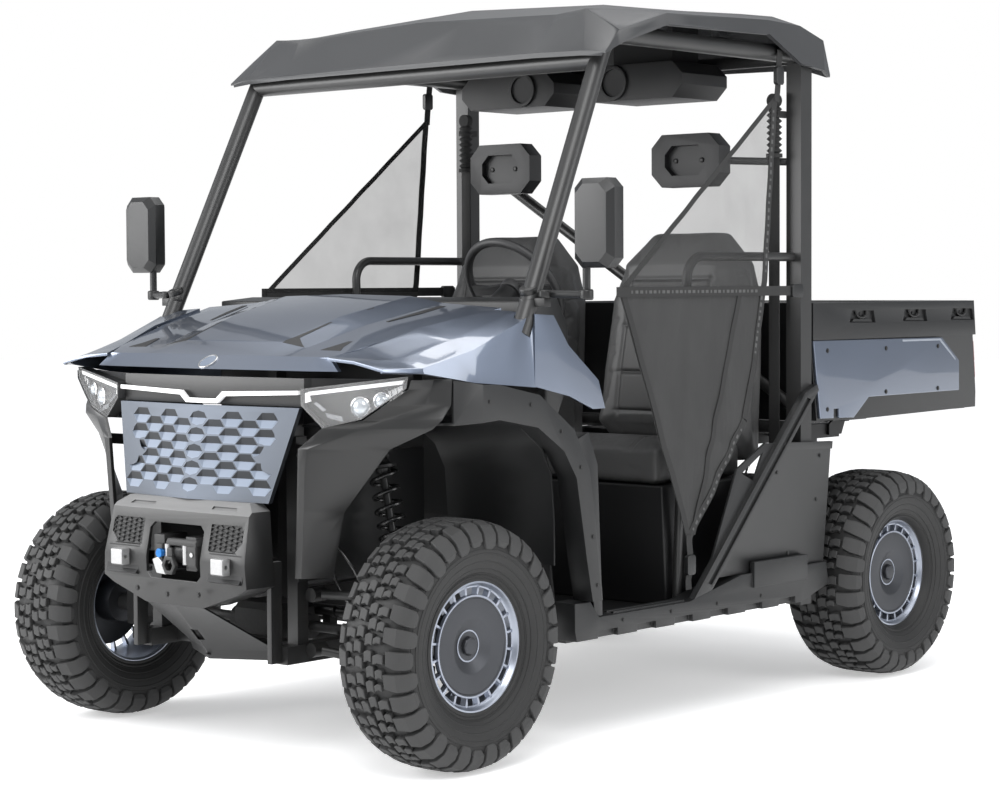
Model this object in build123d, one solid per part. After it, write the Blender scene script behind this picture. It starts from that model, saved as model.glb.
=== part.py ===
"""Side by side utility vehicle: frame, cage, cab, cargo bed, suspension and wheels.

Frame of reference: millimetres, +Z up, the front toward -Y, the vehicle's left at +X,
origin on the ground at the middle of the vehicle's length and width.
"""
from build123d import *
from math import atan2, cos, degrees, hypot, pi, radians, sin
import os

os.makedirs("parts", exist_ok=True)

# ---------------------------------------------------------------- driving dimensions
WHEELBASE = 2120
FRONT_AXLE_Y = -1155
REAR_AXLE_Y = FRONT_AXLE_Y + WHEELBASE
CAB_REAR_Y = REAR_AXLE_Y - 525
FRONT_TRACK = 1390
REAR_TRACK = 1350

TYRE_RADIUS = 343
FRONT_TYRE_WIDTH = 235
REAR_TYRE_WIDTH = 270
BEAD_RADIUS = 178
RIM_WIDTH = 178
RIM_WALL = 8
AXLE_Z = TYRE_RADIUS

FIT_GAP = 0.3
RUNNING_GAP = 5

KINGPIN_OFFSET = 95
STEERING_ARM = 105
SPINDLE_DIAMETER = 50
BALL_JOINT_DIAMETER = 34

CAGE_TUBE = 54
CAGE_X = 712
REAR_POST_HALF = 28
FRAME_TUBE = 50
FRAME_X = 285
FRAME_Z = 300
BED_RAIL_Z = 790

FLOOR_HALF_WIDTH = 690
PLASTIC = 8

BED_FRONT_Y = CAB_REAR_Y + 80
BED_REAR_Y = REAR_AXLE_Y + 555
BED_FLOOR_Z = 880
BED_TOP_Z = 1250
BED_HALF_WIDTH = CAGE_X + REAR_POST_HALF
BED_WALL = 25
BED_PIVOT_Y = BED_REAR_Y - 190
BED_PIVOT_Z = 840


# ---------------------------------------------------------------- shared operations
def block(x, y, z):
    """A box between the low and high ends given along each axis."""
    ends = (x, y, z)
    size = [high - low for low, high in ends]
    middle = [(high + low) / 2 for low, high in ends]
    return Pos(*middle) * Box(*size)


def side_panel(outline, x_from, x_to):
    """A flat panel whose outline is drawn from the side, in y and z."""
    face = make_face(Polyline(*[(x_from, y, z) for y, z in outline], close=True))
    return extrude(face, amount=x_to - x_from, dir=(1, 0, 0))


def front_panel(outline, y_from, y_to):
    """A flat panel whose outline is drawn from the front, in x and z."""
    face = make_face(Polyline(*[(x, y_from, z) for x, z in outline], close=True))
    return extrude(face, amount=y_to - y_from, dir=(0, 1, 0))


def plan_panel(outline, z_from, z_to):
    """A flat panel whose outline is drawn from above, in x and y."""
    face = make_face(Polyline(*[(x, y, z_from) for x, y in outline], close=True))
    return extrude(face, amount=z_to - z_from, dir=(0, 0, 1))


def bar(start, end, diameter):
    """A straight round bar between two points."""
    path = Vector(*end) - Vector(*start)
    plane = Plane(origin=start, z_dir=path)
    return extrude(plane * Circle(diameter / 2), amount=path.length)


def bent_tube(points, diameter, radii):
    """A round tube along straight runs joined by tangent bends."""
    path = FilletPolyline(*points, radius=radii)
    plane = Plane(origin=points[0], z_dir=Vector(*points[1]) - Vector(*points[0]))
    return sweep(plane * Circle(diameter / 2), path=path)


def skin(sections):
    """A panel through closed sections that have the same number of corners."""
    faces = [make_face(Polyline(*section, close=True)) for section in sections]
    return loft(faces, ruled=True)


def flat_faced(first, last):
    """A solid with flat faces between two polygons that have the same number of corners."""
    faces = [Face(Wire.make_polygon(first, close=True)), Face(Wire.make_polygon(last, close=True))]
    for corners in zip(first, first[1:] + first[:1], last[1:] + last[:1], last):
        faces.append(Face(Wire.make_polygon(corners, close=True)))
    return Solid(Shell(faces))


def moved_line(points, distance, starts_on_middle=False):
    """An open line moved to its right by a distance; on the middle plane its start stays there."""
    normals = []
    for (u0, v0), (u1, v1) in zip(points, points[1:]):
        run = hypot(u1 - u0, v1 - v0)
        normals.append(((v1 - v0) / run, (u0 - u1) / run))
    first = (-normals[0][0], normals[0][1]) if starts_on_middle else normals[0]
    moved = []
    for (u, v), (au, av), (bu, bv) in zip(points, [first] + normals, normals + normals[-1:]):
        scale = distance / (1 + au * bu + av * bv)
        moved.append((u + (au + bu) * scale, v + (av + bv) * scale))
    return moved


def strip(line, thickness):
    """The closed outline of a bent sheet along an open line, its thickness to the line's right."""
    return line + moved_line(line, thickness)[::-1]


def shell_section(y, points, thickness):
    """A symmetric closed section at y: the outer line in x and z, and one inside it."""
    inner = moved_line(points, thickness, True)
    right = [(x, y, z) for x, z in points]
    left = [(-x, y, z) for x, z in points[1:]]
    inner_right = [(x, y, z) for x, z in inner]
    inner_left = [(-x, y, z) for x, z in inner[1:]]
    return right[::-1] + left + inner_left[::-1] + inner_right


def spin_x(outline, x_middle, y_middle, z_middle):
    """A solid of revolution about an axis along X: the outline is in x and radius."""
    points = [(x_middle + x, y_middle, z_middle + radius) for x, radius in outline]
    face = make_face(Polyline(*points, close=True))
    return revolve(face, axis=Axis((x_middle, y_middle, z_middle), (1, 0, 0)))


def mirrored(shape):
    """The same piece on the vehicle's right."""
    return mirror(shape, about=Plane.YZ)


def pair(shape):
    """A piece and its mirror image."""
    return [shape, mirrored(shape)]


def save(name, *shapes):
    """Write one named piece, which may be several solids."""
    solids = []
    for shape in shapes:
        items = shape if isinstance(shape, (list, tuple)) else [shape]
        for item in items:
            solids.extend(item.solids())
    whole = solids[0] if len(solids) == 1 else Compound(children=solids)
    whole.label = name
    export_step(whole, f"parts/{name}.step")


# ---------------------------------------------------------------- wheels
TREAD_SIDES = 34
LUG_DEPTH = 24
SHOULDER_LUG = 56
CENTRE_LUG = 50
SLOT_COUNT = 20
SLOT_INNER = 139
SLOT_OUTER = 162
SLOT_HALF_ANGLE = 6.5
CAP_RADIUS = 25
DISH_FLOOR_X = 58
HUB_BACK_X = -16
SPINDLE_REACH = 52


def tread_profile(width, lug_side):
    """Half the carcass section, in x and radius, with a shoulder lug to one side and a centre lug to the other."""
    half = width / 2
    crest = TYRE_RADIUS
    root = crest - LUG_DEPTH
    lug_in = half - SHOULDER_LUG
    outline = [
        (-RIM_WIDTH / 2, BEAD_RADIUS + FIT_GAP),
        (-half, BEAD_RADIUS + 80),
        (-half + 8, root - 24),
        (-half + 12, crest - 28),
        (-lug_in, crest - 3),
        (-lug_in, root),
        (2, root),
        (2, crest),
        (CENTRE_LUG, crest - 1),
        (CENTRE_LUG, root),
        (half - 34, root),
        (half - 8, root - 24),
        (half, BEAD_RADIUS + 80),
        (RIM_WIDTH / 2, BEAD_RADIUS + FIT_GAP),
    ]
    return [(x * lug_side, radius) for x, radius in outline]


def tyre(width):
    """A tyre on the origin: a ring of flat-topped sectors with lugs to alternate sides."""
    half_angle = pi / TREAD_SIDES
    sectors = []
    for index in range(TREAD_SIDES):
        profile = tread_profile(width, 1 if index % 2 else -1)
        ends = []
        for angle in (2 * index * half_angle - half_angle, 2 * index * half_angle + half_angle):
            reach = 1 / cos(half_angle)
            ends.append([(x, r * reach * sin(angle), -r * reach * cos(angle)) for x, r in profile])
        sectors.append(flat_faced(*ends))
    return sectors[0] + sectors[1:]


def rim():
    """A left rim on the origin: barrel, slotted outer ring, flat disc, dish, hub and cap."""
    half = RIM_WIDTH / 2
    inner = BEAD_RADIUS - RIM_WALL
    outline = [
        # the outer face from the bead inward to the dish's floor
        (-half, BEAD_RADIUS), (half, BEAD_RADIUS), (half, inner), (half - 11, SLOT_OUTER + 3),
        (half - 15, SLOT_INNER - 3), (half - 11, SLOT_INNER - 7), (half - 13, 70), (DISH_FLOOR_X, 36), (DISH_FLOOR_X, 0),
        # back out along the hub, the disc's rear face and the barrel
        (HUB_BACK_X, 0), (HUB_BACK_X, 62), (48, 66), (62, SLOT_INNER - 9), (62, SLOT_OUTER + 1), (56, inner), (-half, inner),
    ]
    whole = spin_x(outline, 0, 0, 0)
    slots = []
    for index in range(SLOT_COUNT):
        corners = []
        for radius, sign in ((SLOT_INNER, -1), (SLOT_OUTER, -1), (SLOT_OUTER, 1), (SLOT_INNER, 1)):
            angle = radians(360 * index / SLOT_COUNT + sign * SLOT_HALF_ANGLE)
            corners.append((radius * sin(angle), radius * cos(angle)))
        slots.append(side_panel(corners, half - 40, half))
    bore = bar((HUB_BACK_X - 1, 0, 0), (SPINDLE_REACH + 2, 0, 0), SPINDLE_DIAMETER + 2 * FIT_GAP)
    cap = [(CAP_RADIUS * sin(pi / 8 + k * pi / 4), CAP_RADIUS * cos(pi / 8 + k * pi / 4)) for k in range(8)]
    return whole - slots - bore + side_panel(cap, DISH_FLOOR_X, DISH_FLOOR_X + 9)


WHEELS = [
    # name, x of the wheel's middle, y of its axle, tyre width, side
    ("fl", FRONT_TRACK / 2, FRONT_AXLE_Y, FRONT_TYRE_WIDTH, 1),
    ("fr", -FRONT_TRACK / 2, FRONT_AXLE_Y, FRONT_TYRE_WIDTH, -1),
    ("rl", REAR_TRACK / 2, REAR_AXLE_Y, REAR_TYRE_WIDTH, 1),
    ("rr", -REAR_TRACK / 2, REAR_AXLE_Y, REAR_TYRE_WIDTH, -1),
]
tyres = {width: tyre(width) for width in (FRONT_TYRE_WIDTH, REAR_TYRE_WIDTH)}
left_rim = rim()
for name, wheel_x, wheel_y, width, side in WHEELS:
    place = Pos(wheel_x, wheel_y, AXLE_Z)
    save(f"tyre_{name}", place * (tyres[width] if side > 0 else mirrored(tyres[width])))
    save(f"rim_{name}", place * (left_rim if side > 0 else mirrored(left_rim)))

# ---------------------------------------------------------------- front knuckles
KINGPIN_X = FRONT_TRACK / 2 - KINGPIN_OFFSET
LOWER_ARM_Z = AXLE_Z - 88
UPPER_ARM_Z = AXLE_Z + 112
SPINDLE_END_X = FRONT_TRACK / 2 + SPINDLE_REACH
ARM_EYE_HEIGHT = 32
TIE_ROD_Z = AXLE_Z + 30
TIE_ROD_DIAMETER = 20
STUD_LENGTH = 13
STUD_DIAMETER = 20


def hub_carrier(x, y):
    """An upright block with a stud above and below that meet the arms' eyes."""
    low = LOWER_ARM_Z + ARM_EYE_HEIGHT / 2
    high = UPPER_ARM_Z - ARM_EYE_HEIGHT / 2
    body = block((x - 24, x + 24), (y - 32, y + 32), (low + STUD_LENGTH, high - STUD_LENGTH))
    return body + bar((x, y, low + FIT_GAP), (x, y, high - FIT_GAP), STUD_DIAMETER)


def knuckle():
    """The left steered upright: carrier, spindle, ball joint pins and steering arm."""
    carrier = hub_carrier(KINGPIN_X, FRONT_AXLE_Y)
    spindle = bar((KINGPIN_X, FRONT_AXLE_Y, AXLE_Z), (SPINDLE_END_X, FRONT_AXLE_Y, AXLE_Z), SPINDLE_DIAMETER)
    arm_y = FRONT_AXLE_Y + STEERING_ARM
    arm_top = TIE_ROD_Z + TIE_ROD_DIAMETER / 2 + RUNNING_GAP + 14
    arm = block((KINGPIN_X - 14, KINGPIN_X + 14), (FRONT_AXLE_Y, arm_y + 14), (arm_top - 14, arm_top))
    return carrier + spindle + arm


save("knuckle_left", knuckle())
save("knuckle_right", mirrored(knuckle()))

# ---------------------------------------------------------------- steering rack
RACK_BAR_DIAMETER = 24
RACK_BAR_HALF = 240
TIE_ROD_Y = FRONT_AXLE_Y + STEERING_ARM


def rack():
    """The rack's bar with a straight tie rod and end at each side."""
    end_x = KINGPIN_X
    bar_part = bar((-RACK_BAR_HALF, TIE_ROD_Y, TIE_ROD_Z), (RACK_BAR_HALF, TIE_ROD_Y, TIE_ROD_Z), RACK_BAR_DIAMETER)
    rods = bar((-end_x, TIE_ROD_Y, TIE_ROD_Z), (end_x, TIE_ROD_Y, TIE_ROD_Z), TIE_ROD_DIAMETER)
    return bar_part + rods


save("steering_rack", rack())

# ---------------------------------------------------------------- final drives and half shafts
FRONT_DRIVE = (95, 85, 62)
REAR_DRIVE = (125, 155, 115)
SHAFT_DIAMETER = 30
BOOT_DIAMETER = 72
BOOT_LENGTH = 60
FRONT_SHAFT_END = KINGPIN_X - 55
REAR_UPRIGHT_X = 520
SHAFTS = [
    # axle y, half sizes of the drive's case, x of the shaft's outer end
    (FRONT_AXLE_Y, FRONT_DRIVE, FRONT_SHAFT_END),
    (REAR_AXLE_Y, REAR_DRIVE, REAR_UPRIGHT_X - FIT_GAP),
]


def final_drive(axle_y, case, end_x):
    """A gear case, and to each side a half shaft between its two boots."""
    half_x, half_y, half_z = case
    body = block((-half_x, half_x), (axle_y - half_y, axle_y + half_y), (AXLE_Z - half_z, AXLE_Z + half_z))
    pieces = [chamfer(body.edges(), 18)]
    inner_end = half_x + BOOT_LENGTH
    outer_start = end_x - BOOT_LENGTH
    runs = [
        # x of each end and the diameter of the inner boot, the shaft and the outer boot
        (half_x + FIT_GAP, inner_end, BOOT_DIAMETER),
        (inner_end + FIT_GAP, outer_start - FIT_GAP, SHAFT_DIAMETER),
        (outer_start, end_x, BOOT_DIAMETER),
    ]
    for near, far, diameter in runs:
        pieces.extend(pair(bar((near, axle_y, AXLE_Z), (far, axle_y, AXLE_Z), diameter)))
    return pieces


save("final_drives", *[final_drive(*row) for row in SHAFTS])

# ---------------------------------------------------------------- suspension arms
ARM_TUBE = 26
FRAME_SIDE_X = FRAME_X + FRAME_TUBE / 2
ARM_PIVOT_X = FRAME_SIDE_X + 20 + FIT_GAP
LOWER_PIVOT_Z = FRAME_Z + 10
UPPER_PIVOT_Z = AXLE_Z + 120
REAR_EYE_X = REAR_UPRIGHT_X + 24
SHOCK_FOOT_Z = 298
FRONT_SHOCK_FOOT_X = 487
REAR_SHOCK_FOOT_X = 440


def wishbone(eye, pivot_x, pivot_z, front_spread, rear_spread):
    """Two tubes from the inner pivots to one outer eye with a vertical pin hole."""
    eye_x, eye_y, eye_z = eye
    ring = Pos(eye_x, eye_y, eye_z) * Cylinder(BALL_JOINT_DIAMETER / 2 + 8, ARM_EYE_HEIGHT)
    whole = ring
    for spread in (-front_spread, rear_spread):
        pivot = (pivot_x, eye_y + spread, pivot_z)
        whole += bar(pivot, (eye_x, eye_y, eye_z), ARM_TUBE)
        whole += Pos(*pivot) * Rot(90, 0, 0) * Cylinder(20, 50)
    return whole


def saddle(x, y_front, y_rear):
    """The plate across a lower arm that carries the shock's foot."""
    return block((x - 20, x + 20), (y_front, y_rear), (SHOCK_FOOT_Z - 30, SHOCK_FOOT_Z))


def front_arms():
    upper = wishbone((KINGPIN_X, FRONT_AXLE_Y, UPPER_ARM_Z), ARM_PIVOT_X, UPPER_PIVOT_Z, 150, 270)
    lower = wishbone((KINGPIN_X, FRONT_AXLE_Y, LOWER_ARM_Z), ARM_PIVOT_X, LOWER_PIVOT_Z, 150, 230)
    lower += saddle(FRONT_SHOCK_FOOT_X, FRONT_AXLE_Y - 60, FRONT_AXLE_Y + 94)
    return [upper, lower]


def rear_arms():
    upper = wishbone((REAR_EYE_X, REAR_AXLE_Y, UPPER_ARM_Z), ARM_PIVOT_X, UPPER_PIVOT_Z, 270, 150)
    lower = wishbone((REAR_EYE_X, REAR_AXLE_Y, LOWER_ARM_Z), ARM_PIVOT_X, LOWER_PIVOT_Z, 230, 150)
    lower += saddle(REAR_SHOCK_FOOT_X, REAR_AXLE_Y - 108, REAR_AXLE_Y + 68)
    return [upper, lower]


save("suspension_arms", *[pair(arm) for arm in front_arms() + rear_arms()])


def rear_upright():
    """The rear hub carrier with its spindle."""
    carrier = hub_carrier(REAR_EYE_X, REAR_AXLE_Y)
    end_x = REAR_TRACK / 2 + SPINDLE_REACH
    spindle = bar((REAR_UPRIGHT_X + 20, REAR_AXLE_Y, AXLE_Z), (end_x, REAR_AXLE_Y, AXLE_Z), SPINDLE_DIAMETER)
    return carrier + spindle


save("rear_uprights", *pair(rear_upright()))

# ---------------------------------------------------------------- coil-over shocks
SPRING_DIAMETER = 86
WIRE_DIAMETER = 13
SHOCK_OFFSET = 62
SHOCK_ROD_DIAMETER = 22
SHOCK_TOP_X = 369
FRONT_SHOCK_TOP_Z = 845
REAR_SHOCK_TOP_Z = 785
SHOCKS = [
    # y, top x and z, bottom x and z
    (FRONT_AXLE_Y + SHOCK_OFFSET, SHOCK_TOP_X, FRONT_SHOCK_TOP_Z, FRONT_SHOCK_FOOT_X, SHOCK_FOOT_Z),
    (REAR_AXLE_Y - SHOCK_OFFSET, SHOCK_TOP_X, REAR_SHOCK_TOP_Z, REAR_SHOCK_FOOT_X, SHOCK_FOOT_Z),
]


def shock(y, top_x, top_z, low_x, low_z):
    """A damper with spring seats and a spring, drawn as stacked collars round the body."""
    lean = atan2(low_x - top_x, top_z - low_z)
    lift = SHOCK_ROD_DIAMETER / 2 * sin(lean) + FIT_GAP
    top = Vector(top_x, y, top_z)
    low = Vector(low_x, y, low_z + lift)
    along = (top - low).normalized()
    length = (top - low).length
    whole = bar(tuple(low), tuple(top), SHOCK_ROD_DIAMETER)
    whole += bar(tuple(low + along * 30), tuple(low + along * (length * 0.55)), 44)
    coils = 9
    first = 110
    last = length - 50
    for index in range(coils):
        middle = first + (last - first) * index / (coils - 1)
        start = low + along * (middle - WIRE_DIAMETER / 2)
        end = low + along * (middle + WIRE_DIAMETER / 2)
        whole += bar(tuple(start), tuple(end), SPRING_DIAMETER)
    return whole


save("shock_absorbers", *[pair(shock(*row)) for row in SHOCKS])

# ---------------------------------------------------------------- frame
HALF_TUBE = FRAME_TUBE / 2
RAIL_FRONT_Y = -1400
RAIL_REAR_Y = REAR_AXLE_Y + 235
BED_RAIL_FRONT_Y = BED_FRONT_Y - 50
BED_RAIL_REAR_Y = BED_PIVOT_Y - 12


def long_rail(z, y_front, y_rear):
    return block((FRAME_X - HALF_TUBE, FRAME_X + HALF_TUBE), (y_front, y_rear), (z - HALF_TUBE, z + HALF_TUBE))


COWL_Y = -925
COWL_Z = 1148
COWL_DEPTH = 13
COWL_HALF = CAGE_X + REAR_POST_HALF
HOOD_HINGE_Y = -858
HOOD_HINGE_Z = 1238
HOOD_LUG_X = 300
HOOD_PIN = 10
BED_PIN = 18
STRUT_X = 170
STRUT_FOOT_Y = REAR_AXLE_Y - 175
STRUT_FOOT_Z = 350
STRUT_EYE_WIDTH = 16
STRUT_PIN = 12
SILL_INNER_X = 684
OUTRIGGER_Y = (-640, CAB_REAR_Y + 35)
HITCH_BAR_Y = REAR_AXLE_Y + 190
ENGINE_Y = (CAB_REAR_Y + 20, CAB_REAR_Y + 320)
RECEIVER_BORE = 51
RECEIVER_PIN = 16
RECEIVER_REAR_Y = HITCH_BAR_Y + 225
INNER_X = FRAME_X - HALF_TUBE
RAIL_TOP = FRAME_Z + HALF_TUBE
NOSE_BEAM_Z = 900
NOSE_POST_Y = -1335
COWL_POST_Y = -870
MID_RAIL_POSTS = (REAR_AXLE_Y - 315, REAR_AXLE_Y + 200)
MID_RAIL_Z = UPPER_PIVOT_Z
POST_HALF = 20
POST_TOP = BED_RAIL_Z - HALF_TUBE
FIREWALL_Y = -735
FLOOR_REAR_Y = CAB_REAR_Y
FLOOR_TOP = RAIL_TOP + FIT_GAP + PLASTIC
CROSS_BARS = [
    # y, z of cross members that butt between the rails
    (-1280, FRAME_Z),
    (TIE_ROD_Y, FRAME_Z),
    (-700, FRAME_Z),
    (-200, FRAME_Z),
    (CAB_REAR_Y - 140, FRAME_Z),
    (ENGINE_Y[0] + 150, FRAME_Z),
    (STRUT_FOOT_Y, FRAME_Z),
    (HITCH_BAR_Y, FRAME_Z),
    (BED_FRONT_Y + 80, BED_RAIL_Z),
    (BED_PIVOT_Y - 80, BED_RAIL_Z),
]
POSTS = [
    # y, foot z and head z of the upright posts on the rails
    (NOSE_POST_Y, RAIL_TOP, NOSE_BEAM_Z),
    (COWL_POST_Y, RAIL_TOP, COWL_Z),
    (BED_FRONT_Y, RAIL_TOP, POST_TOP),
    (MID_RAIL_POSTS[0], RAIL_TOP, POST_TOP),
    (MID_RAIL_POSTS[1], RAIL_TOP, POST_TOP),
]


def cross_bar(y, z):
    return block((-INNER_X, INNER_X), (y - 20, y + 20), (z - 20, z + 20))


def post(y, foot, head):
    return block((FRAME_X - POST_HALF, FRAME_X + POST_HALF), (y - POST_HALF, y + POST_HALF), (foot, head))


def mid_rail(y_front, y_rear):
    """The rail between two posts that carries the upper arms' pivots."""
    return block(
        (FRAME_X - POST_HALF, FRAME_SIDE_X),
        (y_front + POST_HALF, y_rear - POST_HALF),
        (MID_RAIL_Z - 20, MID_RAIL_Z + 20),
    )


def rack_housing():
    """The fixed tube round the rack's bar on two pedestals."""
    tube = bar((-150, TIE_ROD_Y, TIE_ROD_Z), (150, TIE_ROD_Y, TIE_ROD_Z), RACK_BAR_DIAMETER + 12)
    for x in (-120, 120):
        tube += block((x - 15, x + 15), (TIE_ROD_Y - 15, TIE_ROD_Y + 15), (FRAME_Z + 15, TIE_ROD_Z))
    bore = bar((-151, TIE_ROD_Y, TIE_ROD_Z), (151, TIE_ROD_Y, TIE_ROD_Z), RACK_BAR_DIAMETER + 2 * FIT_GAP)
    return tube - bore


def strut_bracket():
    """A lug with a pin on the cross member, for the foot of the bed's strut."""
    x = STRUT_X + STRUT_EYE_WIDTH / 2 + 1
    lug = block((x, x + 10), (STRUT_FOOT_Y - 15, STRUT_FOOT_Y + 15), (FRAME_Z + 15, STRUT_FOOT_Z + 15))
    pin = bar((STRUT_X - 12, STRUT_FOOT_Y, STRUT_FOOT_Z), (x + 5, STRUT_FOOT_Y, STRUT_FOOT_Z), STRUT_PIN)
    return lug + pin


def hitch_receiver():
    """A square tube behind the rear cross member, with a cross hole for its pin."""
    outer = RECEIVER_BORE / 2 + 6.5
    inner = RECEIVER_BORE / 2
    tube = block((-outer, outer), (HITCH_BAR_Y + 20, RECEIVER_REAR_Y), (FRAME_Z - 20, FRAME_Z - 20 + 2 * outer))
    middle = FRAME_Z - 20 + outer
    tube -= block((-inner, inner), (HITCH_BAR_Y + 40, RECEIVER_REAR_Y + 1), (middle - inner, middle + inner))
    pin_y = RECEIVER_REAR_Y - 45
    return tube - bar((-outer - 1, pin_y, middle), (outer + 1, pin_y, middle), RECEIVER_PIN)


def outrigger(y):
    """A bar from the rail out to the sill, under the floor."""
    return block((FRAME_SIDE_X, SILL_INNER_X), (y - 20, y + 20), (RAIL_TOP - 40, RAIL_TOP))


def cross_members():
    """Bars between the rails; two of them carry the rack's housing and the strut's foot."""
    bars = []
    for y, z in CROSS_BARS:
        piece = cross_bar(y, z)
        if y == TIE_ROD_Y:
            piece += rack_housing()
        if y == STRUT_FOOT_Y:
            piece += strut_bracket()
        if y == HITCH_BAR_Y:
            piece += hitch_receiver()
        bars.append(piece)
    for y in OUTRIGGER_Y:
        bars.extend(pair(outrigger(y)))
    return bars


def front_posts_and_cowl():
    """The posts behind the front wheels, the beam on them and the hood's hinge lugs."""
    whole = block((-COWL_HALF, COWL_HALF), (COWL_Y - 25, COWL_Y + 25), (COWL_Z, COWL_Z + COWL_DEPTH))
    inner = FRAME_X + POST_HALF
    whole += block((-inner, inner), (COWL_Y, COWL_POST_Y + POST_HALF), (COWL_Z, COWL_Z + COWL_DEPTH))
    for side in (-1, 1):
        x = side * HOOD_LUG_X
        plate = side_panel(
            [(-915, COWL_Z + 5), (-850, COWL_Z + 5), (HOOD_HINGE_Y + 9, HOOD_HINGE_Z), (HOOD_HINGE_Y - 9, HOOD_HINGE_Z)],
            x - 4, x + 4,
        )
        plate += bar((x - 4, HOOD_HINGE_Y, HOOD_HINGE_Z), (x + 4, HOOD_HINGE_Y, HOOD_HINGE_Z), 18)
        pin = bar((x, HOOD_HINGE_Y, HOOD_HINGE_Z), (x + side * 22, HOOD_HINGE_Y, HOOD_HINGE_Z), HOOD_PIN)
        whole += plate + pin
    return whole


def bed_hinge_lug():
    """The plate on a bed rail's outer face with the pin that carries the bed."""
    outline = [
        (BED_PIVOT_Y - 90, 775), (BED_PIVOT_Y - 12, 775), (BED_PIVOT_Y + 14, BED_PIVOT_Z - 14),
        (BED_PIVOT_Y - 14, BED_PIVOT_Z + 14), (BED_PIVOT_Y - 90, 812),
    ]
    plate = side_panel(outline, FRAME_SIDE_X, FRAME_SIDE_X + 10)
    plate += bar((FRAME_SIDE_X, BED_PIVOT_Y, BED_PIVOT_Z), (FRAME_SIDE_X + 10, BED_PIVOT_Y, BED_PIVOT_Z), 38)
    return plate + bar((FRAME_SIDE_X, BED_PIVOT_Y, BED_PIVOT_Z), (FRAME_SIDE_X + 34, BED_PIVOT_Y, BED_PIVOT_Z), BED_PIN)


save(
    "frame_rails",
    *pair(long_rail(FRAME_Z, RAIL_FRONT_Y, RAIL_REAR_Y)),
    *pair(long_rail(BED_RAIL_Z, BED_RAIL_FRONT_Y, BED_RAIL_REAR_Y) + bed_hinge_lug()),
)
save("frame_crossmembers", *cross_members())
posts = [pair(post(*row)) for row in POSTS if row[2] != COWL_Z]
cowl_posts = front_posts_and_cowl()
for row in POSTS:
    if row[2] == COWL_Z:
        for piece in pair(post(*row)):
            cowl_posts += piece
save("frame_posts", *posts, cowl_posts)


def front_tower():
    """The beam between the front posts and the bracket over a front shock."""
    y = FRONT_AXLE_Y + SHOCK_OFFSET
    beam = block(
        (FRAME_X - POST_HALF, FRAME_X + POST_HALF),
        (NOSE_POST_Y + POST_HALF, COWL_POST_Y - POST_HALF),
        (FRONT_SHOCK_TOP_Z + 3, FRONT_SHOCK_TOP_Z + 43),
    )
    arm = block((FRAME_X, SHOCK_TOP_X + 25), (y - 25, y + 25), (FRONT_SHOCK_TOP_Z + 3, FRONT_SHOCK_TOP_Z + 20))
    return beam + arm


def rear_tower():
    """The bracket on a bed rail's outer face over a rear shock."""
    y = REAR_AXLE_Y - SHOCK_OFFSET
    return block((FRAME_SIDE_X, SHOCK_TOP_X + 25), (y - 25, y + 25), (REAR_SHOCK_TOP_Z + 3, REAR_SHOCK_TOP_Z + 25))


MID_RAILS = [(NOSE_POST_Y, COWL_POST_Y), MID_RAIL_POSTS]
save(
    "suspension_brackets",
    *pair(front_tower()),
    *pair(rear_tower()),
    *[pair(mid_rail(*row)) for row in MID_RAILS],
)

# ---------------------------------------------------------------- cage
PILLAR_FOOT = (741, -920, COWL_Z + COWL_DEPTH + 13)
ROOF_RAIL_Z = 2035
PILLAR_HEAD_Y = -502
REAR_POST_Y = (CAB_REAR_Y + 5, CAB_REAR_Y + 65)
REAR_POST_X = (CAGE_X - REAR_POST_HALF, CAGE_X + REAR_POST_HALF)
REAR_POST_TOP = ROOF_RAIL_Z + CAGE_TUBE / 2
REAR_POST_FOOT = RAIL_TOP - 40


def cage_side():
    """One bent tube: windscreen pillar, then roof rail back to the rear post."""
    points = [PILLAR_FOOT, (CAGE_X, PILLAR_HEAD_Y, ROOF_RAIL_Z), (CAGE_X, REAR_POST_Y[0], ROOF_RAIL_Z)]
    return bent_tube(points, CAGE_TUBE, 110)


save("cage_side_tubes", *pair(cage_side()))


def rear_post():
    return block(REAR_POST_X, REAR_POST_Y, (REAR_POST_FOOT, REAR_POST_TOP))


save("cage_rear_posts", *pair(rear_post()))

POST_INNER_X = REAR_POST_X[0]
CAGE_BAR = 42
REAR_POST_MID_Y = (REAR_POST_Y[0] + REAR_POST_Y[1]) / 2
CAGE_BARS = [
    # y, z and diameter of the bars between the two sides
    (REAR_POST_MID_Y, ROOF_RAIL_Z - 6, CAGE_BAR),
    (REAR_POST_MID_Y, 850, CAGE_BAR),
    (-380, ROOF_RAIL_Z, CAGE_BAR),
    (PILLAR_HEAD_Y - 39, ROOF_RAIL_Z - 80, CAGE_TUBE),
]
BRACE_TOP_Z = ROOF_RAIL_Z - 255
BRACE_FOOT_Z = 905
BRACE_DIAMETER = 38
HIP_BAR_DIAMETER = 28
HIP_BAR_Z = 1397
HIP_BAR_FOOT_X = 660


def between_sides(shape):
    """Trim a bar to the cage's side tubes and rear posts."""
    for piece in (cage_side(), rear_post()):
        shape = shape - piece - mirrored(piece)
    inside = [solid for solid in shape.solids() if abs(solid.center().X) < 600]
    return inside[0]


def cage_bar(y, z, diameter):
    return between_sides(bar((-CAGE_X, y, z), (CAGE_X, y, z), diameter))


def brace():
    """The single diagonal behind the seats, from the right post's top to the left's foot."""
    top = (-CAGE_X, REAR_POST_MID_Y, BRACE_TOP_Z)
    foot = (CAGE_X, REAR_POST_MID_Y, BRACE_FOOT_Z)
    return between_sides(bar(top, foot, BRACE_DIAMETER))


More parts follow.
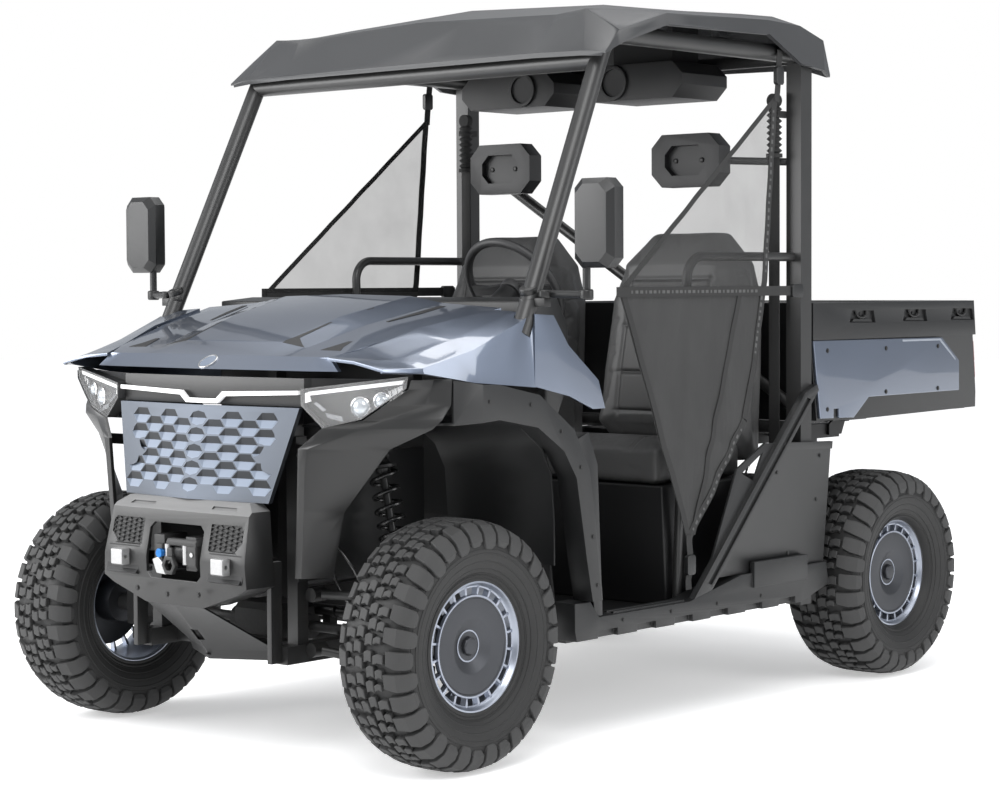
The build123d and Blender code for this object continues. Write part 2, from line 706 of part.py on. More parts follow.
def hip_bar():
    """The bar beside a seat: forward from the rear post, then down to the floor."""
    points = [
        (705, REAR_POST_Y[0], HIP_BAR_Z),
        (705, -105, HIP_BAR_Z),
        (HIP_BAR_FOOT_X, -105, FLOOR_TOP + 1),
    ]
    return bent_tube(points, HIP_BAR_DIAMETER, 70)


save("cage_cross_bars", *[cage_bar(*row) for row in CAGE_BARS], brace(), *pair(hip_bar()))

# ---------------------------------------------------------------- roof and overhead pods
ROOF_THICKNESS = 14
ROOF_SECTIONS = [
    # y, then heights over the side rail: crown, inner edge x and z, shoulder x and z, side x and z, skirt x and z
    (PILLAR_HEAD_Y - 92, -52, 520, -52, 700, -56, 784, -63, 784, -69),
    (PILLAR_HEAD_Y - 13, 83, 538, 65, 649, 74, 772, 5, 780, -35),
    (PILLAR_HEAD_Y + 214, 137, 530, 113, 660, 89, 768, 70, 776, 36),
    (CAB_REAR_Y - 219, 147, 530, 130, 660, 117, 768, 90, 776, 46),
    (CAB_REAR_Y - 40, 147, 530, 133, 660, 123, 768, 85, 776, -35),
    (CAB_REAR_Y + 98, 117, 530, 107, 660, 100, 762, 50, 768, -45),
    (CAB_REAR_Y + 177, -5, 530, -15, 660, -26, 735, -50, 735, -60),
]


def roof_section(row):
    y, crown, *rest = row
    points = [(0, ROOF_RAIL_Z + crown)]
    points += [(rest[i], ROOF_RAIL_Z + rest[i + 1]) for i in range(0, len(rest), 2)]
    return shell_section(y, points, ROOF_THICKNESS)


ROOF_PAD_Y = (PILLAR_HEAD_Y + 252, CAB_REAR_Y - 390, CAB_REAR_Y - 90)


def roof():
    """The moulded roof, with the pads that seat it on the side tubes."""
    whole = skin([roof_section(row) for row in ROOF_SECTIONS])
    for pad_y in ROOF_PAD_Y:
        seat = ROOF_RAIL_Z + CAGE_TUBE / 2 + FIT_GAP
        pad = block((CAGE_X - 14, CAGE_X + 14), (pad_y - 20, pad_y + 20), (seat, seat + 42))
        whole += pad
        whole += mirrored(pad)
    return whole


save("roof", roof())

POD_Z = (ROOF_RAIL_Z - 130, ROOF_RAIL_Z - 15)
POD_NECK_HALF = 120
POD_X = 265
POD_Y = (CAB_REAR_Y - 260, CAB_REAR_Y - 20)
SPEAKER_X = 195
SPEAKER_DIAMETER = 112
SPEAKER_PROUD = 10


def octagon(x, z, half_x, half_z, corner):
    """Corner points of a rectangle with cut corners."""
    return [
        (x - half_x, z - half_z + corner),
        (x - half_x + corner, z - half_z),
        (x + half_x - corner, z - half_z),
        (x + half_x, z - half_z + corner),
        (x + half_x, z + half_z - corner),
        (x + half_x - corner, z + half_z),
        (x - half_x + corner, z + half_z),
        (x - half_x, z + half_z - corner),
    ]


def roof_underside(x):
    """Height just under the roof's skin above the seats, at x from the middle."""
    _, crown, edge_x, edge_z, *_ = ROOF_SECTIONS[3]
    return ROOF_RAIL_Z + crown - ROOF_THICKNESS - (crown - edge_z) * x / edge_x - 2 * FIT_GAP


def overhead_pod(x):
    z = (POD_Z[0] + POD_Z[1]) / 2
    half = (POD_Z[1] - POD_Z[0]) / 2
    body = front_panel(octagon(x, z, 205, half, 40), *POD_Y)
    inner = abs(x) - POD_NECK_HALF
    outer = abs(x) + POD_NECK_HALF
    speaker_x = x * SPEAKER_X / POD_X
    ring = bar((speaker_x, POD_Y[0] - SPEAKER_PROUD, z), (speaker_x, POD_Y[0] + 1, z), SPEAKER_DIAMETER)
    body += ring - bar((speaker_x, POD_Y[0] - SPEAKER_PROUD - 1, z), (speaker_x, POD_Y[0] - 2, z), SPEAKER_DIAMETER - 24)
    neck = front_panel(
        [(inner, POD_Z[1] - 5), (outer, POD_Z[1] - 5), (outer, roof_underside(outer)), (inner, roof_underside(inner))],
        POD_Y[0] + 60, POD_Y[1] - 40,
    )
    return body + (neck if x > 0 else mirrored(neck))


save("overhead_pods", overhead_pod(POD_X), overhead_pod(-POD_X))

# ---------------------------------------------------------------- floor, dash and controls


def floor_tub():
    """The cab floor, bent up into the toe board and firewall."""
    outline = [
        (FLOOR_REAR_Y, FLOOR_TOP),
        (-690, FLOOR_TOP),
        (FIREWALL_Y, 640),
        (FIREWALL_Y, 1140),
        (FIREWALL_Y - PLASTIC, 1140),
        (FIREWALL_Y - PLASTIC, 640),
        (-690 - PLASTIC, FLOOR_TOP - PLASTIC),
        (FLOOR_REAR_Y, FLOOR_TOP - PLASTIC),
    ]
    return side_panel(outline, -FLOOR_HALF_WIDTH + 10, FLOOR_HALF_WIDTH - 10)


save("floor_tub", floor_tub())

DASH_HALF_WIDTH = 640
DASH_TOP_Z = 1278
COWL_SHELF_Z = 1224


def dash():
    """The dashboard, a moulded body across the cab on the firewall."""
    outline = [
        (FIREWALL_Y + FIT_GAP, 960),
        (-640, 930),
        (-600, 1010),
        (-590, 1190),
        (-640, DASH_TOP_Z),
        (-775, DASH_TOP_Z - 12),
        (-775, COWL_SHELF_Z),
        (-838, COWL_SHELF_Z),
        (-838, COWL_SHELF_Z - 12),
        (FIREWALL_Y - PLASTIC - FIT_GAP, COWL_SHELF_Z - 12),
        (FIREWALL_Y - PLASTIC - FIT_GAP, 1140 + FIT_GAP),
        (FIREWALL_Y + FIT_GAP, 1140 + FIT_GAP),
    ]
    return side_panel(outline, -DASH_HALF_WIDTH, DASH_HALF_WIDTH)


save("dash", dash())

WHEEL_CENTRE = Vector(330, -470, 1300)
WHEEL_RADIUS = 180
COLUMN_TILT = 33
COLUMN_AXIS = Vector(0, cos(radians(COLUMN_TILT)), sin(radians(COLUMN_TILT)))
GRIP_DIAMETER = 26
STEERING_SHAFT = 20
SHAFT_REACH = 65


def driver_controls():
    """The steering column's fixed shroud, and two pedals on arms from the toe board."""
    column_start = WHEEL_CENTRE - COLUMN_AXIS * 30
    column_end = WHEEL_CENTRE - COLUMN_AXIS * 172
    column = bar(tuple(column_end), tuple(column_start), 70)
    bore_end = WHEEL_CENTRE - COLUMN_AXIS * (SHAFT_REACH + RUNNING_GAP)
    column = column - dash() - bar(tuple(bore_end), tuple(WHEEL_CENTRE), STEERING_SHAFT + 2 * FIT_GAP)
    pieces = [column]
    for pedal_x in (270, 400):
        pad = block((pedal_x - 28, pedal_x + 28), (-640, -628), (430, 520))
        arm = block((pedal_x - 7, pedal_x + 7), (FIREWALL_Y + 19, -630), (468, 484))
        arm = arm - floor_tub()
        pieces.append(pad + arm)
    return pieces


save("driver_controls", *driver_controls())


def steering_wheel():
    """An eight-sided grip on three spokes and a boss, square to the column."""
    plane = Plane(origin=tuple(WHEEL_CENTRE), x_dir=(1, 0, 0), z_dir=tuple(COLUMN_AXIS))
    reach = GRIP_DIAMETER / 2
    turns = [pi / 8 + k * pi / 4 for k in range(8)]
    corners = [(WHEEL_RADIUS - reach + reach * cos(turn), 0, reach * sin(turn)) for turn in turns]
    ring = plane * revolve(make_face(Polyline(*corners, close=True)), axis=Axis.Z)
    boss = plane * Pos(0, 0, -12) * Cylinder(42, 26)
    shaft_end = WHEEL_CENTRE - COLUMN_AXIS * SHAFT_REACH
    whole = ring + boss + bar(tuple(shaft_end), tuple(WHEEL_CENTRE - COLUMN_AXIS * 12), STEERING_SHAFT)
    for angle in (0, 180, 270):
        spoke = Rot(0, 0, angle) * Pos(WHEEL_RADIUS / 2, 0, -6) * Box(WHEEL_RADIUS - 40, 26, 10)
        whole += plane * spoke
    return whole


save("steering_wheel", steering_wheel())

# ---------------------------------------------------------------- seats and belts
SEAT_X = (95, 635)
SEAT_BASE_Z = 700
CUSHION_TOP_Z = 850
SEAT_SPLIT_Y = CAB_REAR_Y - 140
SEAT_FRONT_Y = SEAT_SPLIT_Y - 465


def seat_base():
    outline = [
        (SEAT_FRONT_Y + 35, FLOOR_TOP + FIT_GAP),
        (FLOOR_REAR_Y, FLOOR_TOP + FIT_GAP),
        (FLOOR_REAR_Y, SEAT_BASE_Z),
        (SEAT_FRONT_Y + 15, SEAT_BASE_Z),
    ]
    whole = side_panel(outline, -SEAT_X[1] - 5, SEAT_X[1] + 5)
    return whole


save("seat_base", seat_base())


def seat_cushion():
    outline = [
        (SEAT_FRONT_Y, SEAT_BASE_Z + FIT_GAP),
        (SEAT_SPLIT_Y, SEAT_BASE_Z + FIT_GAP),
        (SEAT_SPLIT_Y, CUSHION_TOP_Z - 30),
        (SEAT_FRONT_Y + 85, CUSHION_TOP_Z),
        (SEAT_FRONT_Y, CUSHION_TOP_Z - 30),
    ]
    return side_panel(outline, *SEAT_X)


SEAT_BACK_TOP_Z = 1500


def seat_back():
    outline = [
        (SEAT_SPLIT_Y - 140, CUSHION_TOP_Z + 5),
        (SEAT_SPLIT_Y + FIT_GAP, CUSHION_TOP_Z - 30 + FIT_GAP),
        (SEAT_SPLIT_Y + FIT_GAP, SEAT_BASE_Z + FIT_GAP),
        (SEAT_SPLIT_Y + 100, SEAT_BASE_Z + FIT_GAP),
        (SEAT_SPLIT_Y + 130, 1400),
        (SEAT_SPLIT_Y + 100, 1485),
        (SEAT_SPLIT_Y + 30, 1490),
        (SEAT_SPLIT_Y - 10, 1430),
    ]
    front = [
        (SEAT_X[0], SEAT_BASE_Z), (SEAT_X[1], SEAT_BASE_Z), (SEAT_X[1], 1270), (SEAT_X[1] - 45, 1400),
        (SEAT_X[1] - 130, SEAT_BACK_TOP_Z), (SEAT_X[0] + 130, SEAT_BACK_TOP_Z), (SEAT_X[0] + 45, 1400), (SEAT_X[0], 1270),
    ]
    return side_panel(outline, *SEAT_X) & front_panel(front, SEAT_SPLIT_Y - 200, SEAT_SPLIT_Y + 200)


save("seat_cushions", *pair(seat_cushion()))
save("seat_backs", *pair(seat_back()))

HEADREST_X = 397
HEADREST_Z = SEAT_BACK_TOP_Z + 210
HEADREST_Y = (CAB_REAR_Y - 150, CAB_REAR_Y - 88)


def headrest():
    pad = front_panel(octagon(HEADREST_X, HEADREST_Z, 135, 85, 42), *HEADREST_Y)
    pad -= front_panel(octagon(HEADREST_X, HEADREST_Z, 81, 48, 28), HEADREST_Y[0] - 1, HEADREST_Y[0] + 22)
    start = (POST_INNER_X + 5, REAR_POST_MID_Y, HEADREST_Z - 10)
    end = (HEADREST_X + 60, HEADREST_Y[1] - 10, HEADREST_Z)
    arm = bar(start, end, 24)
    arm = arm - rear_post()
    return pad + arm


save("headrests", *pair(headrest()))

BELLOWS_X = 662
BELLOWS_Y = CAB_REAR_Y - 30
BELLOWS_Z = (ROOF_RAIL_Z - 310, ROOF_RAIL_Z - 160)
BELLOWS_RIBS = 8


def belt():
    """A bellows retractor beside the rear post, and webbing down to the seat's side."""
    low, high = BELLOWS_Z
    pitch = (high - low) / BELLOWS_RIBS
    outline = [(0, high), (0, low)]
    for rib in range(BELLOWS_RIBS):
        outline += [(15, low + rib * pitch), (25, low + (rib + 0.5) * pitch)]
    outline.append((15, high))
    section = make_face(Polyline(*[(BELLOWS_X + radius, BELLOWS_Y, z) for radius, z in outline], close=True))
    bellows = revolve(section, axis=Axis((BELLOWS_X, BELLOWS_Y, 0), (0, 0, 1)))
    bellows += bar((BELLOWS_X, BELLOWS_Y, low - 12), (BELLOWS_X, BELLOWS_Y, low), 52)
    bellows += bar((BELLOWS_X, BELLOWS_Y - 12, high + 18), (BELLOWS_X, BELLOWS_Y + 12, high + 18), 44)
    bracket = block((BELLOWS_X, POST_INNER_X), (BELLOWS_Y - 12, REAR_POST_MID_Y - 5), (BELLOWS_Z[1] - 35, BELLOWS_Z[1] - 15))
    strap = block((BELLOWS_X - 20, BELLOWS_X + 20), (BELLOWS_Y - 2, BELLOWS_Y + 2), (730, BELLOWS_Z[0] - 5))
    return bellows + bracket + strap


save("belts", *pair(belt()))

# ---------------------------------------------------------------- hood and nose
HOOD_THICKNESS = 10
HOOD_REAR_Y = -850
CREASE_Y = -1373
LIP_Z = 1083
CREASE_Z = 1120
HOOD_SECTIONS = [
    # y, middle z, bulge x and z, valley x and z, seam x and z
    (-1373, 1121, 201, 1121, 300, 1121, 455, 1120),
    (-1303, 1160, 201, 1158, 300, 1143, 491, 1140),
    (-1100, 1232, 225, 1226, 330, 1203, 545, 1196),
    (-850, 1288, 260, 1282, 390, 1262, 612, 1248),
]
NOSE_BAND = [
    # z and the outer line from the middle outward, in x and y
    (1121, [(0, -1374), (399, -1373), (455, -1373)]),
    (1083, [(0, -1429), (410, -1405), (500, -1385)]),
]


def hood_top():
    sections = []
    for y, middle, *rest in HOOD_SECTIONS:
        points = [(0, middle)] + [(rest[i], rest[i + 1]) for i in range(0, len(rest), 2)]
        sections.append(shell_section(y, points, HOOD_THICKNESS))
    return skin(sections)


def nose_band():
    """The upright strip between the hood's front crease and its lip."""
    sections = []
    for z, line in NOSE_BAND:
        right = [(x, y, z) for x, y in line]
        left = [(-x, y, z) for x, y in line[1:]]
        inner_right = [(x, y + 14, z) for x, y in line]
        inner_left = [(-x, y + 14, z) for x, y in line[1:]]
        sections.append(right[::-1] + left + inner_left[::-1] + inner_right)
    return skin(sections)


def hood_lug():
    """The hinge lug under the hood's rear edge, with a bore for the cowl's pin."""
    x = HOOD_LUG_X + 10
    outline = [
        (HOOD_HINGE_Y - 14, HOOD_HINGE_Z - 9),
        (HOOD_HINGE_Y + 7, HOOD_HINGE_Z - 9),
        (HOOD_HINGE_Y + 7, HOOD_HINGE_Z + 26),
        (HOOD_HINGE_Y - 60, HOOD_HINGE_Z + 18),
    ]
    lug = side_panel(outline, x, x + 8)
    bore = bar((x - 1, HOOD_HINGE_Y, HOOD_HINGE_Z), (x + 9, HOOD_HINGE_Y, HOOD_HINGE_Z), HOOD_PIN + 2 * FIT_GAP)
    return lug - bore


save("hood", hood_top() + nose_band() + hood_lug() + mirrored(hood_lug()))

# ---------------------------------------------------------------- grille, lamps and fascia
GRILLE_TOP_Z = 982
BUMPER_TOP_Z = 722
GRILLE_FOOT_Z = BUMPER_TOP_Z + FIT_GAP
GRILLE_LINES = [
    # z and the outer line from the middle outward, in x and y
    (GRILLE_TOP_Z, [(0, -1436), (374, -1408)]),
    (GRILLE_FOOT_Z, [(0, -1487), (298, -1454)]),
]


def ring_section(z, line, depth):
    """A symmetric closed section at z: the front line in x and y, and one behind it."""
    right = [(x, y, z) for x, y in line]
    left = [(-x, y, z) for x, y in line[1:]]
    rear_right = [(x, y + depth, z) for x, y in line]
    rear_left = [(-x, y + depth, z) for x, y in line[1:]]
    return right[::-1] + left + rear_left[::-1] + rear_right


GRILLE_DEPTH = 14
DIMPLE_PITCH_X = 65.5
DIMPLE_PITCH_Z = 46
DIMPLE_HALF_X = 42
DIMPLE_CORNER_X = 21.5
DIMPLE_HALF_Z = 21.5
DIMPLE_DEPTH = 8
DIMPLE_ROWS = [
    # columns from the middle, and the lowest and highest row's z
    (0, 762, 946),
    (1, 785, 923),
    (2, 762, 946),
    (3, 785, 923),
    (4, 762, 946),
]


def grille_front(x, z):
    """The panel's front face: its y at x and z, between the upper and the lower line."""
    ends = []
    for _, ((_, middle_y), (edge_x, edge_y)) in GRILLE_LINES:
        ends.append(middle_y + (edge_y - middle_y) * x / edge_x)
    share = (GRILLE_TOP_Z - z) / (GRILLE_TOP_Z - GRILLE_FOOT_Z)
    return ends[0] + (ends[1] - ends[0]) * share


def dimple(x, z):
    """A six-cornered hollow to cut from the grille, folded along its middle."""
    slope_x = (grille_front(x + 1, z) - grille_front(x, z)) if x else 0
    slope_z = grille_front(x, z + 1) - grille_front(x, z)

    def place(across, up, depth):
        return (x + across, grille_front(x, z) + slope_x * across + slope_z * up + depth, z + up)

    wide, corner, high = DIMPLE_HALF_X, DIMPLE_CORNER_X, DIMPLE_HALF_Z
    around = [(wide, 0), (corner, high), (-corner, high), (-wide, 0), (-corner, -high), (corner, -high)]
    rim = [place(across, up, -0.5) for across, up in around]
    right = place(wide - 14, 0, DIMPLE_DEPTH)
    left = place(14 - wide, 0, DIMPLE_DEPTH)
    outlines = [
        rim, [rim[0], rim[1], right], [rim[1], rim[2], left, right], [rim[2], rim[3], left],
        [rim[3], rim[4], left], [rim[4], rim[5], right, left], [rim[5], rim[0], right],
    ]
    return Solid(Shell([Face(Wire.make_polygon(outline, close=True)) for outline in outlines]))


def grille_panel():
    """The painted panel between the lamps and the bumper, with its field of folded hollows."""
    hollows = []
    for column, low, high in DIMPLE_ROWS:
        for row in range(round((high - low) / DIMPLE_PITCH_Z) + 1):
            hollow = dimple(column * DIMPLE_PITCH_X, low + row * DIMPLE_PITCH_Z)
            hollows.append(hollow)
            if column:
                hollows.append(mirrored(hollow))
    return skin([ring_section(z, line, GRILLE_DEPTH) for z, line in GRILLE_LINES]) - hollows


save("grille_panel", grille_panel())


def light_bar():
    """A thin lamp across the nose with a dip at the middle."""
    outline = [
        (0, 1002), (60, 1002), (85, 1022), (372, 1030), (372, 1018), (92, 1008), (66, 988), (0, 988),
    ]
    half = front_panel(outline, -1445, -1405)
    trim = skin([ring_section(z, [(0, -1432), (372, -1410)], 20) for z in (980, 1035)])
    half = half & trim
    return half + mirrored(half)


def headlamp():
    """The left lamp: a clear-fronted housing that wraps round the nose's corner."""
    rear = 34
    upper = [(384, -1412, 1035), (690, -1312, 1072), (690, -1312 + rear, 1072), (384, -1412 + rear, 1035)]
    middle = [(384, -1412, 990), (684, -1316, 1040), (684, -1316 + rear, 1040), (384, -1412 + rear, 990)]
    lower = [(450, -1399, 930), (560, -1362, 956), (560, -1362 + rear, 956), (450, -1399 + rear, 930)]
    return skin([upper, middle, lower])


save("headlamps", *pair(headlamp()), light_bar())

GUARD_WALL = 8
GUARD_SECTIONS = [
    # z, front edge x and y, outer edge x and y, rear edge x and y
    (521, 372, -1428, 392, -1424, 436, -1345),
    (700, 385, -1432, 408, -1428, 470, -1335),
    (874, 396, -1436, 424, -1429, 610, -1300),
    (930 - FIT_GAP, 455, -1404, 557, -1351, 725, -1257),
    (953, 568, -1361, 612, -1319, 744, -1240),
    (994, 628, -1339, 706, -1262, 754, -1214),
    (1038, 691, -1313, 713, -1247, 755, -1213),
    (1062, 697, -1309, 716, -1240, 756, -1212),
]


def guard():
    """The left moulding beside the grille and round under the lamp to the fender, open behind."""
    sections = []
    for z, front_x, front_y, edge_x, edge_y, rear_x, rear_y in GUARD_SECTIONS:
        sections.append([
            (front_x, front_y, z),
            (edge_x, edge_y, z),
            (rear_x, rear_y, z),
            (rear_x - GUARD_WALL, rear_y + GUARD_WALL / 2, z),
            (edge_x - GUARD_WALL, edge_y + GUARD_WALL * 1.5, z),
            (front_x, front_y + GUARD_WALL * 1.5, z),
        ])
    arm = block((FRAME_X + POST_HALF + FIT_GAP, 540), (-1352, -1340), (850, 880))
    behind = []
    for section in sections[1:4]:
        z = section[0][2]
        behind.append([(FRAME_X, -1330, z), *section[3:], (FRAME_X, section[5][1], z)])
    return skin(sections) + (arm & skin(behind))


def fascia_strip():
    """The dark strip behind the light bar, under the hood's lip."""
    line = [(0, -1411.5), (374, -1389.5), (386, -1374), (640, -1290)]
    strip = skin([ring_section(z, line, 10) for z in (GRILLE_TOP_Z + 2, 1062)])
    leg = block((270, 300), (-1388, NOSE_POST_Y + 15), (NOSE_BEAM_Z + FIT_GAP, GRILLE_TOP_Z + 18))
    return strip + leg + mirrored(leg)


save("nose_fascia", *pair(guard()), fascia_strip())

# ---------------------------------------------------------------- bumper, winch and tow blocks
BUMPER_OUTLINE = [
    # the left half, in x and z, from the foot round to the top
    (0, 430), (120, 430), (258, 475), (298, 495), (283, 700), (250, BUMPER_TOP_Z), (0, BUMPER_TOP_Z),
]
BUMPER_PROFILE = [
    # from the side, in y and z
    (-1536, 430), (-1434, 430), (-1434, BUMPER_TOP_Z), (-1478, BUMPER_TOP_Z), (-1512, 690), (-1540, 560),
]
BUMPER_WALL = 10
INSERT_DEPTH = 6
BUMPER_INSERT = [
    # the recess for the mesh beside the window, in x and z
    (140, 590), (246, 590), (272, 618), (270, 652), (262, 662), (140, 662),
]
BUMPER_TOP_GROOVE = [(120, 700), (224, 700), (214, 708), (120, 708)]
TOW_FRONT_Y = -1566
TOW_HOLE = 13
TOW_LIP = 8
TOW_X = (188, 232)
TOW_Z = (530, 574)


def bumper():
    """A plate bumper with a window for the winch, legs to the rails and two tow blocks."""
    half = front_panel(BUMPER_OUTLINE, -1560, -1430)
    whole = (half + mirrored(half)) & side_panel(BUMPER_PROFILE, -320, 320)
    inner_outline = [(x - BUMPER_WALL if x > 0 else 0, z) for x, z in BUMPER_OUTLINE]
    inner_outline = [(x, min(max(z, 430 + BUMPER_WALL), BUMPER_TOP_Z - BUMPER_WALL)) for x, z in inner_outline]
    inner_half = front_panel(inner_outline, -1560, -1400)
    inner_profile = [(y + BUMPER_WALL, z) for y, z in BUMPER_PROFILE]
    hollow = (inner_half + mirrored(inner_half)) & side_panel(inner_profile, -320, 320)
    window = front_panel(octagon(0, 577.5, 113, 77.5, 16), -1600, -1500)
    whole = whole - hollow - window
    shallow = side_panel([(y + INSERT_DEPTH, z) for y, z in BUMPER_PROFILE], -320, 320)
    for outline in (BUMPER_INSERT, BUMPER_TOP_GROOVE):
        recess = front_panel(outline, -1600, -1440) - shallow
        whole = whole - recess - mirrored(recess)
    leg = block((FRAME_X - 12, FRAME_X + 5), (RAIL_FRONT_Y - 40, RAIL_FRONT_Y), (FRAME_Z - 20, 560))
    tow = block(TOW_X, (TOW_FRONT_Y, -1500), TOW_Z)
    whole = whole + leg + mirrored(leg) + tow + mirrored(tow)
    hole_y = TOW_FRONT_Y + TOW_LIP + TOW_HOLE / 2
    hole_z = (TOW_Z[0] + TOW_Z[1]) / 2
    hole = bar((TOW_X[0] - 1, hole_y, hole_z), (TOW_X[1] + 1, hole_y, hole_z), TOW_HOLE)
    return whole - hole - mirrored(hole)


VALANCE_LINES = [
    # z and the outer line from the middle outward, in x and y
    (BUMPER_OUTLINE[0][1] - FIT_GAP, [(0, -1535), (118, -1533)]),
    (291, [(0, -1420), (187, -1317)]),
    (264, [(0, -1409), (187, -1306)]),
]
SKID_HALF = 187
SKID_Z = (264, 272)


def skid_plate():
    """The plate down and back from the bumper's foot, pointed in plan, and the flat under the nose."""
    front = skin([ring_section(z, line, 10) for z, line in VALANCE_LINES])
    square = front_panel([(-16, 322), (16, 322), (16, 354), (-16, 354)], -1600, -1300)
    flat = plan_panel([(0, -1405), (SKID_HALF, -1302), (SKID_HALF, -1150), (-SKID_HALF, -1150), (-SKID_HALF, -1302)], *SKID_Z)
    return front - square + flat


save("bumper", bumper())
save("skid_plate", skid_plate())


def winch():
    """The winch behind the bumper's window: drum, end housings, mounting plate."""
    drum = Pos(0, -1485, 575) * Rot(0, 90, 0) * Cylinder(34, 100)
    end = block((45, 88), (-1530, -1445), (528, 622))
    plate = block((-280, 280), (RAIL_FRONT_Y - 42, RAIL_FRONT_Y - 30), (520, 560))
    foot = block((-88, 88), (-1450, RAIL_FRONT_Y - 42), (520, 560))
    plate = plate - bumper()
    return drum + end + mirrored(end) + foot + plate


save("winch", winch())

# ---------------------------------------------------------------- fenders and arches
FENDER_SECTIONS = [
    # y, seam x and z, shoulder x and z, edge x and z, foot x and z
    (-1385, 462, 1119, 560, 1112, 664, 1092, 668, 1084),
    (-1300, 497, 1139, 640, 1115, 732, 1094, 736, 1080),
    (-1124, 551, 1196, 672, 1165, 752, 1138, 760, 1050),
    (-890, 612, 1244, 680, 1240, 764, 1232, 772, 1030),
]
FENDER_THICKNESS = 8
FENDER_SIDE_X = 772
FENDER_TAIL = [
    # the side panel behind the pillar, in y and z
    (-892, 1232), (-812, 1228), (-747, 1143), (-615, 1041), (-585, 960), (-640, 960), (-743, 1000), (-892, 1032),
]


def fender():
    """The left painted fender: its top from the hood's seam, its side down to the flare."""
    sections = []
    for y, *rest in FENDER_SECTIONS:
        points = [(rest[i], rest[i + 1]) for i in range(0, len(rest), 2)]
        inner = moved_line(points, FENDER_THICKNESS, True)
        inner[0] = (points[0][0], points[0][1] - FENDER_THICKNESS)
        sections.append([(x, y, z) for x, z in points] + [(x, y, z) for x, z in inner[::-1]])
    whole = skin(sections) + side_panel(FENDER_TAIL, FENDER_SIDE_X - FENDER_THICKNESS, FENDER_SIDE_X)
    clearance = bar(PILLAR_FOOT, (CAGE_X, PILLAR_HEAD_Y, ROOF_RAIL_Z), CAGE_TUBE + 4)
    return whole - clearance


save("front_fenders", *pair(fender()))

FLARE_X = 790
FLARE_INNER_X = 718
FLARE_WALL = 8
FLARE_LINE = [
    # the flare's outer edge from the front, in y and z
    (-1208, 1060), (-1124, 1046), (-1059, 1043), (-893, 1010), (-743, 906), (-677, 790), (-634, 531), (-621, 415),
]
ARCH_LINE = [
    # the wheel opening's edge from the front
    (-1208, 938), (-1059, 948), (-900, 920), (-790, 850), (-735, 770), (-690, 531), (-665, 415),
]
LINER_LINE = [
    # the liner inboard of the flare, ahead of the firewall
    (-1340, 926), (-1208, 938), (-1059, 948), (-900, 920), (-805, 852), (-764, 780), (-752, 640), (-752, 520),
]
FLARE_PLAN = [(700, -1212), (756, -1212), (FLARE_X, -1130), (FLARE_X, -600), (700, -600)]
LINER_PLAN = [(312, -1338), (530, -1338), (636, -1255), (719, -1205), (719, -740), (312, -740)]


def front_arch():
    """The left flare, a shell open inboard, with the liner over the wheel."""
    face = side_panel(FLARE_LINE + ARCH_LINE[::-1], FLARE_X - FLARE_WALL, FLARE_X)
    top = side_panel(strip(FLARE_LINE, FLARE_WALL), FLARE_INNER_X, FLARE_X)
    foot = side_panel(strip(ARCH_LINE, -FLARE_WALL), FLARE_INNER_X, FLARE_X)
    slant = [(x - FLARE_WALL, y) for x, y in FLARE_PLAN[:3]] + FLARE_PLAN[2:0:-1]
    front_face = plan_panel(slant, 900, 1065) & side_panel(FLARE_LINE + ARCH_LINE[::-1], 700, FLARE_X)
    flare = ((face + top + foot) & plan_panel(FLARE_PLAN, 400, 1065)) + front_face
    liner = side_panel(strip(LINER_LINE, -6), 300, 730) & plan_panel(LINER_PLAN, 500, 980)
    return flare + liner


def apron():
    """The sheet on the left front posts that closes the wheel well inboard."""
    inner = FRAME_X + POST_HALF + FIT_GAP
    return block((inner, inner + 4), (NOSE_POST_Y - POST_HALF, COWL_POST_Y + POST_HALF), (500, FRONT_SHOCK_TOP_Z))


save("front_arches", *pair(front_arch()), *pair(apron()))

# ---------------------------------------------------------------- sills and side panels
SILL_OUTER_X = 760
SILL_NOTCH_Y = (-560, -380, -200, -20, 160, 340)


def side_sill():
    """The left rocker, seated on the floor's edge."""
    outline = [
        (-709, 330), (-700, 300), (CAB_REAR_Y - 16, 300), (CAB_REAR_Y + 136, 345), (CAB_REAR_Y + 120, 417),
        (CAB_REAR_Y - 344, 417), (CAB_REAR_Y - 610, 362), (-600, 362), (-640, 410), (-709, 410),
    ]
    sill = side_panel(outline, FLOOR_HALF_WIDTH - 10 + FIT_GAP, SILL_OUTER_X)
    socket = block(
        (REAR_POST_X[0] - 20, REAR_POST_X[1] + FIT_GAP),
        (REAR_POST_Y[0] - FIT_GAP, REAR_POST_Y[1] + FIT_GAP),
        (RAIL_TOP - 60, 500),
    )
    notch = block((SILL_INNER_X - 20, SILL_INNER_X + FIT_GAP), (OUTRIGGER_Y[0] - 21, OUTRIGGER_Y[0] + 21), (RAIL_TOP - 60, RAIL_TOP))
    step_ribs = [
        block((x, x + 12), (-520, CAB_REAR_Y - 620), (355, 368)) for x in (SILL_OUTER_X - 48, SILL_OUTER_X - 24)
    ]
    boss = block((SILL_OUTER_X - 8, SILL_OUTER_X + 10), (CAB_REAR_Y - 290, CAB_REAR_Y), (372, 452))
    sill = sill - socket - notch + step_ribs + boss
    for y in SILL_NOTCH_Y:
        sill -= block((SILL_OUTER_X - 16, SILL_OUTER_X + 1), (y - 45, y + 45), (299, 322))
    return sill


def door_post():
    """The left upright moulding ahead of the door opening, from the fender's tail to the sill."""
    outline = [
        (-579, 363), (-599.5, 363), (-618, 384.5), (-620.4, 415), (-633.4, 531), (-676.4, 790), (-694, 874), (-640, 894), (-600, 798),
    ]
    return side_panel(outline, SILL_OUTER_X - 19, SILL_OUTER_X - 4)


save("side_sills", *pair(side_sill()), *pair(door_post()))


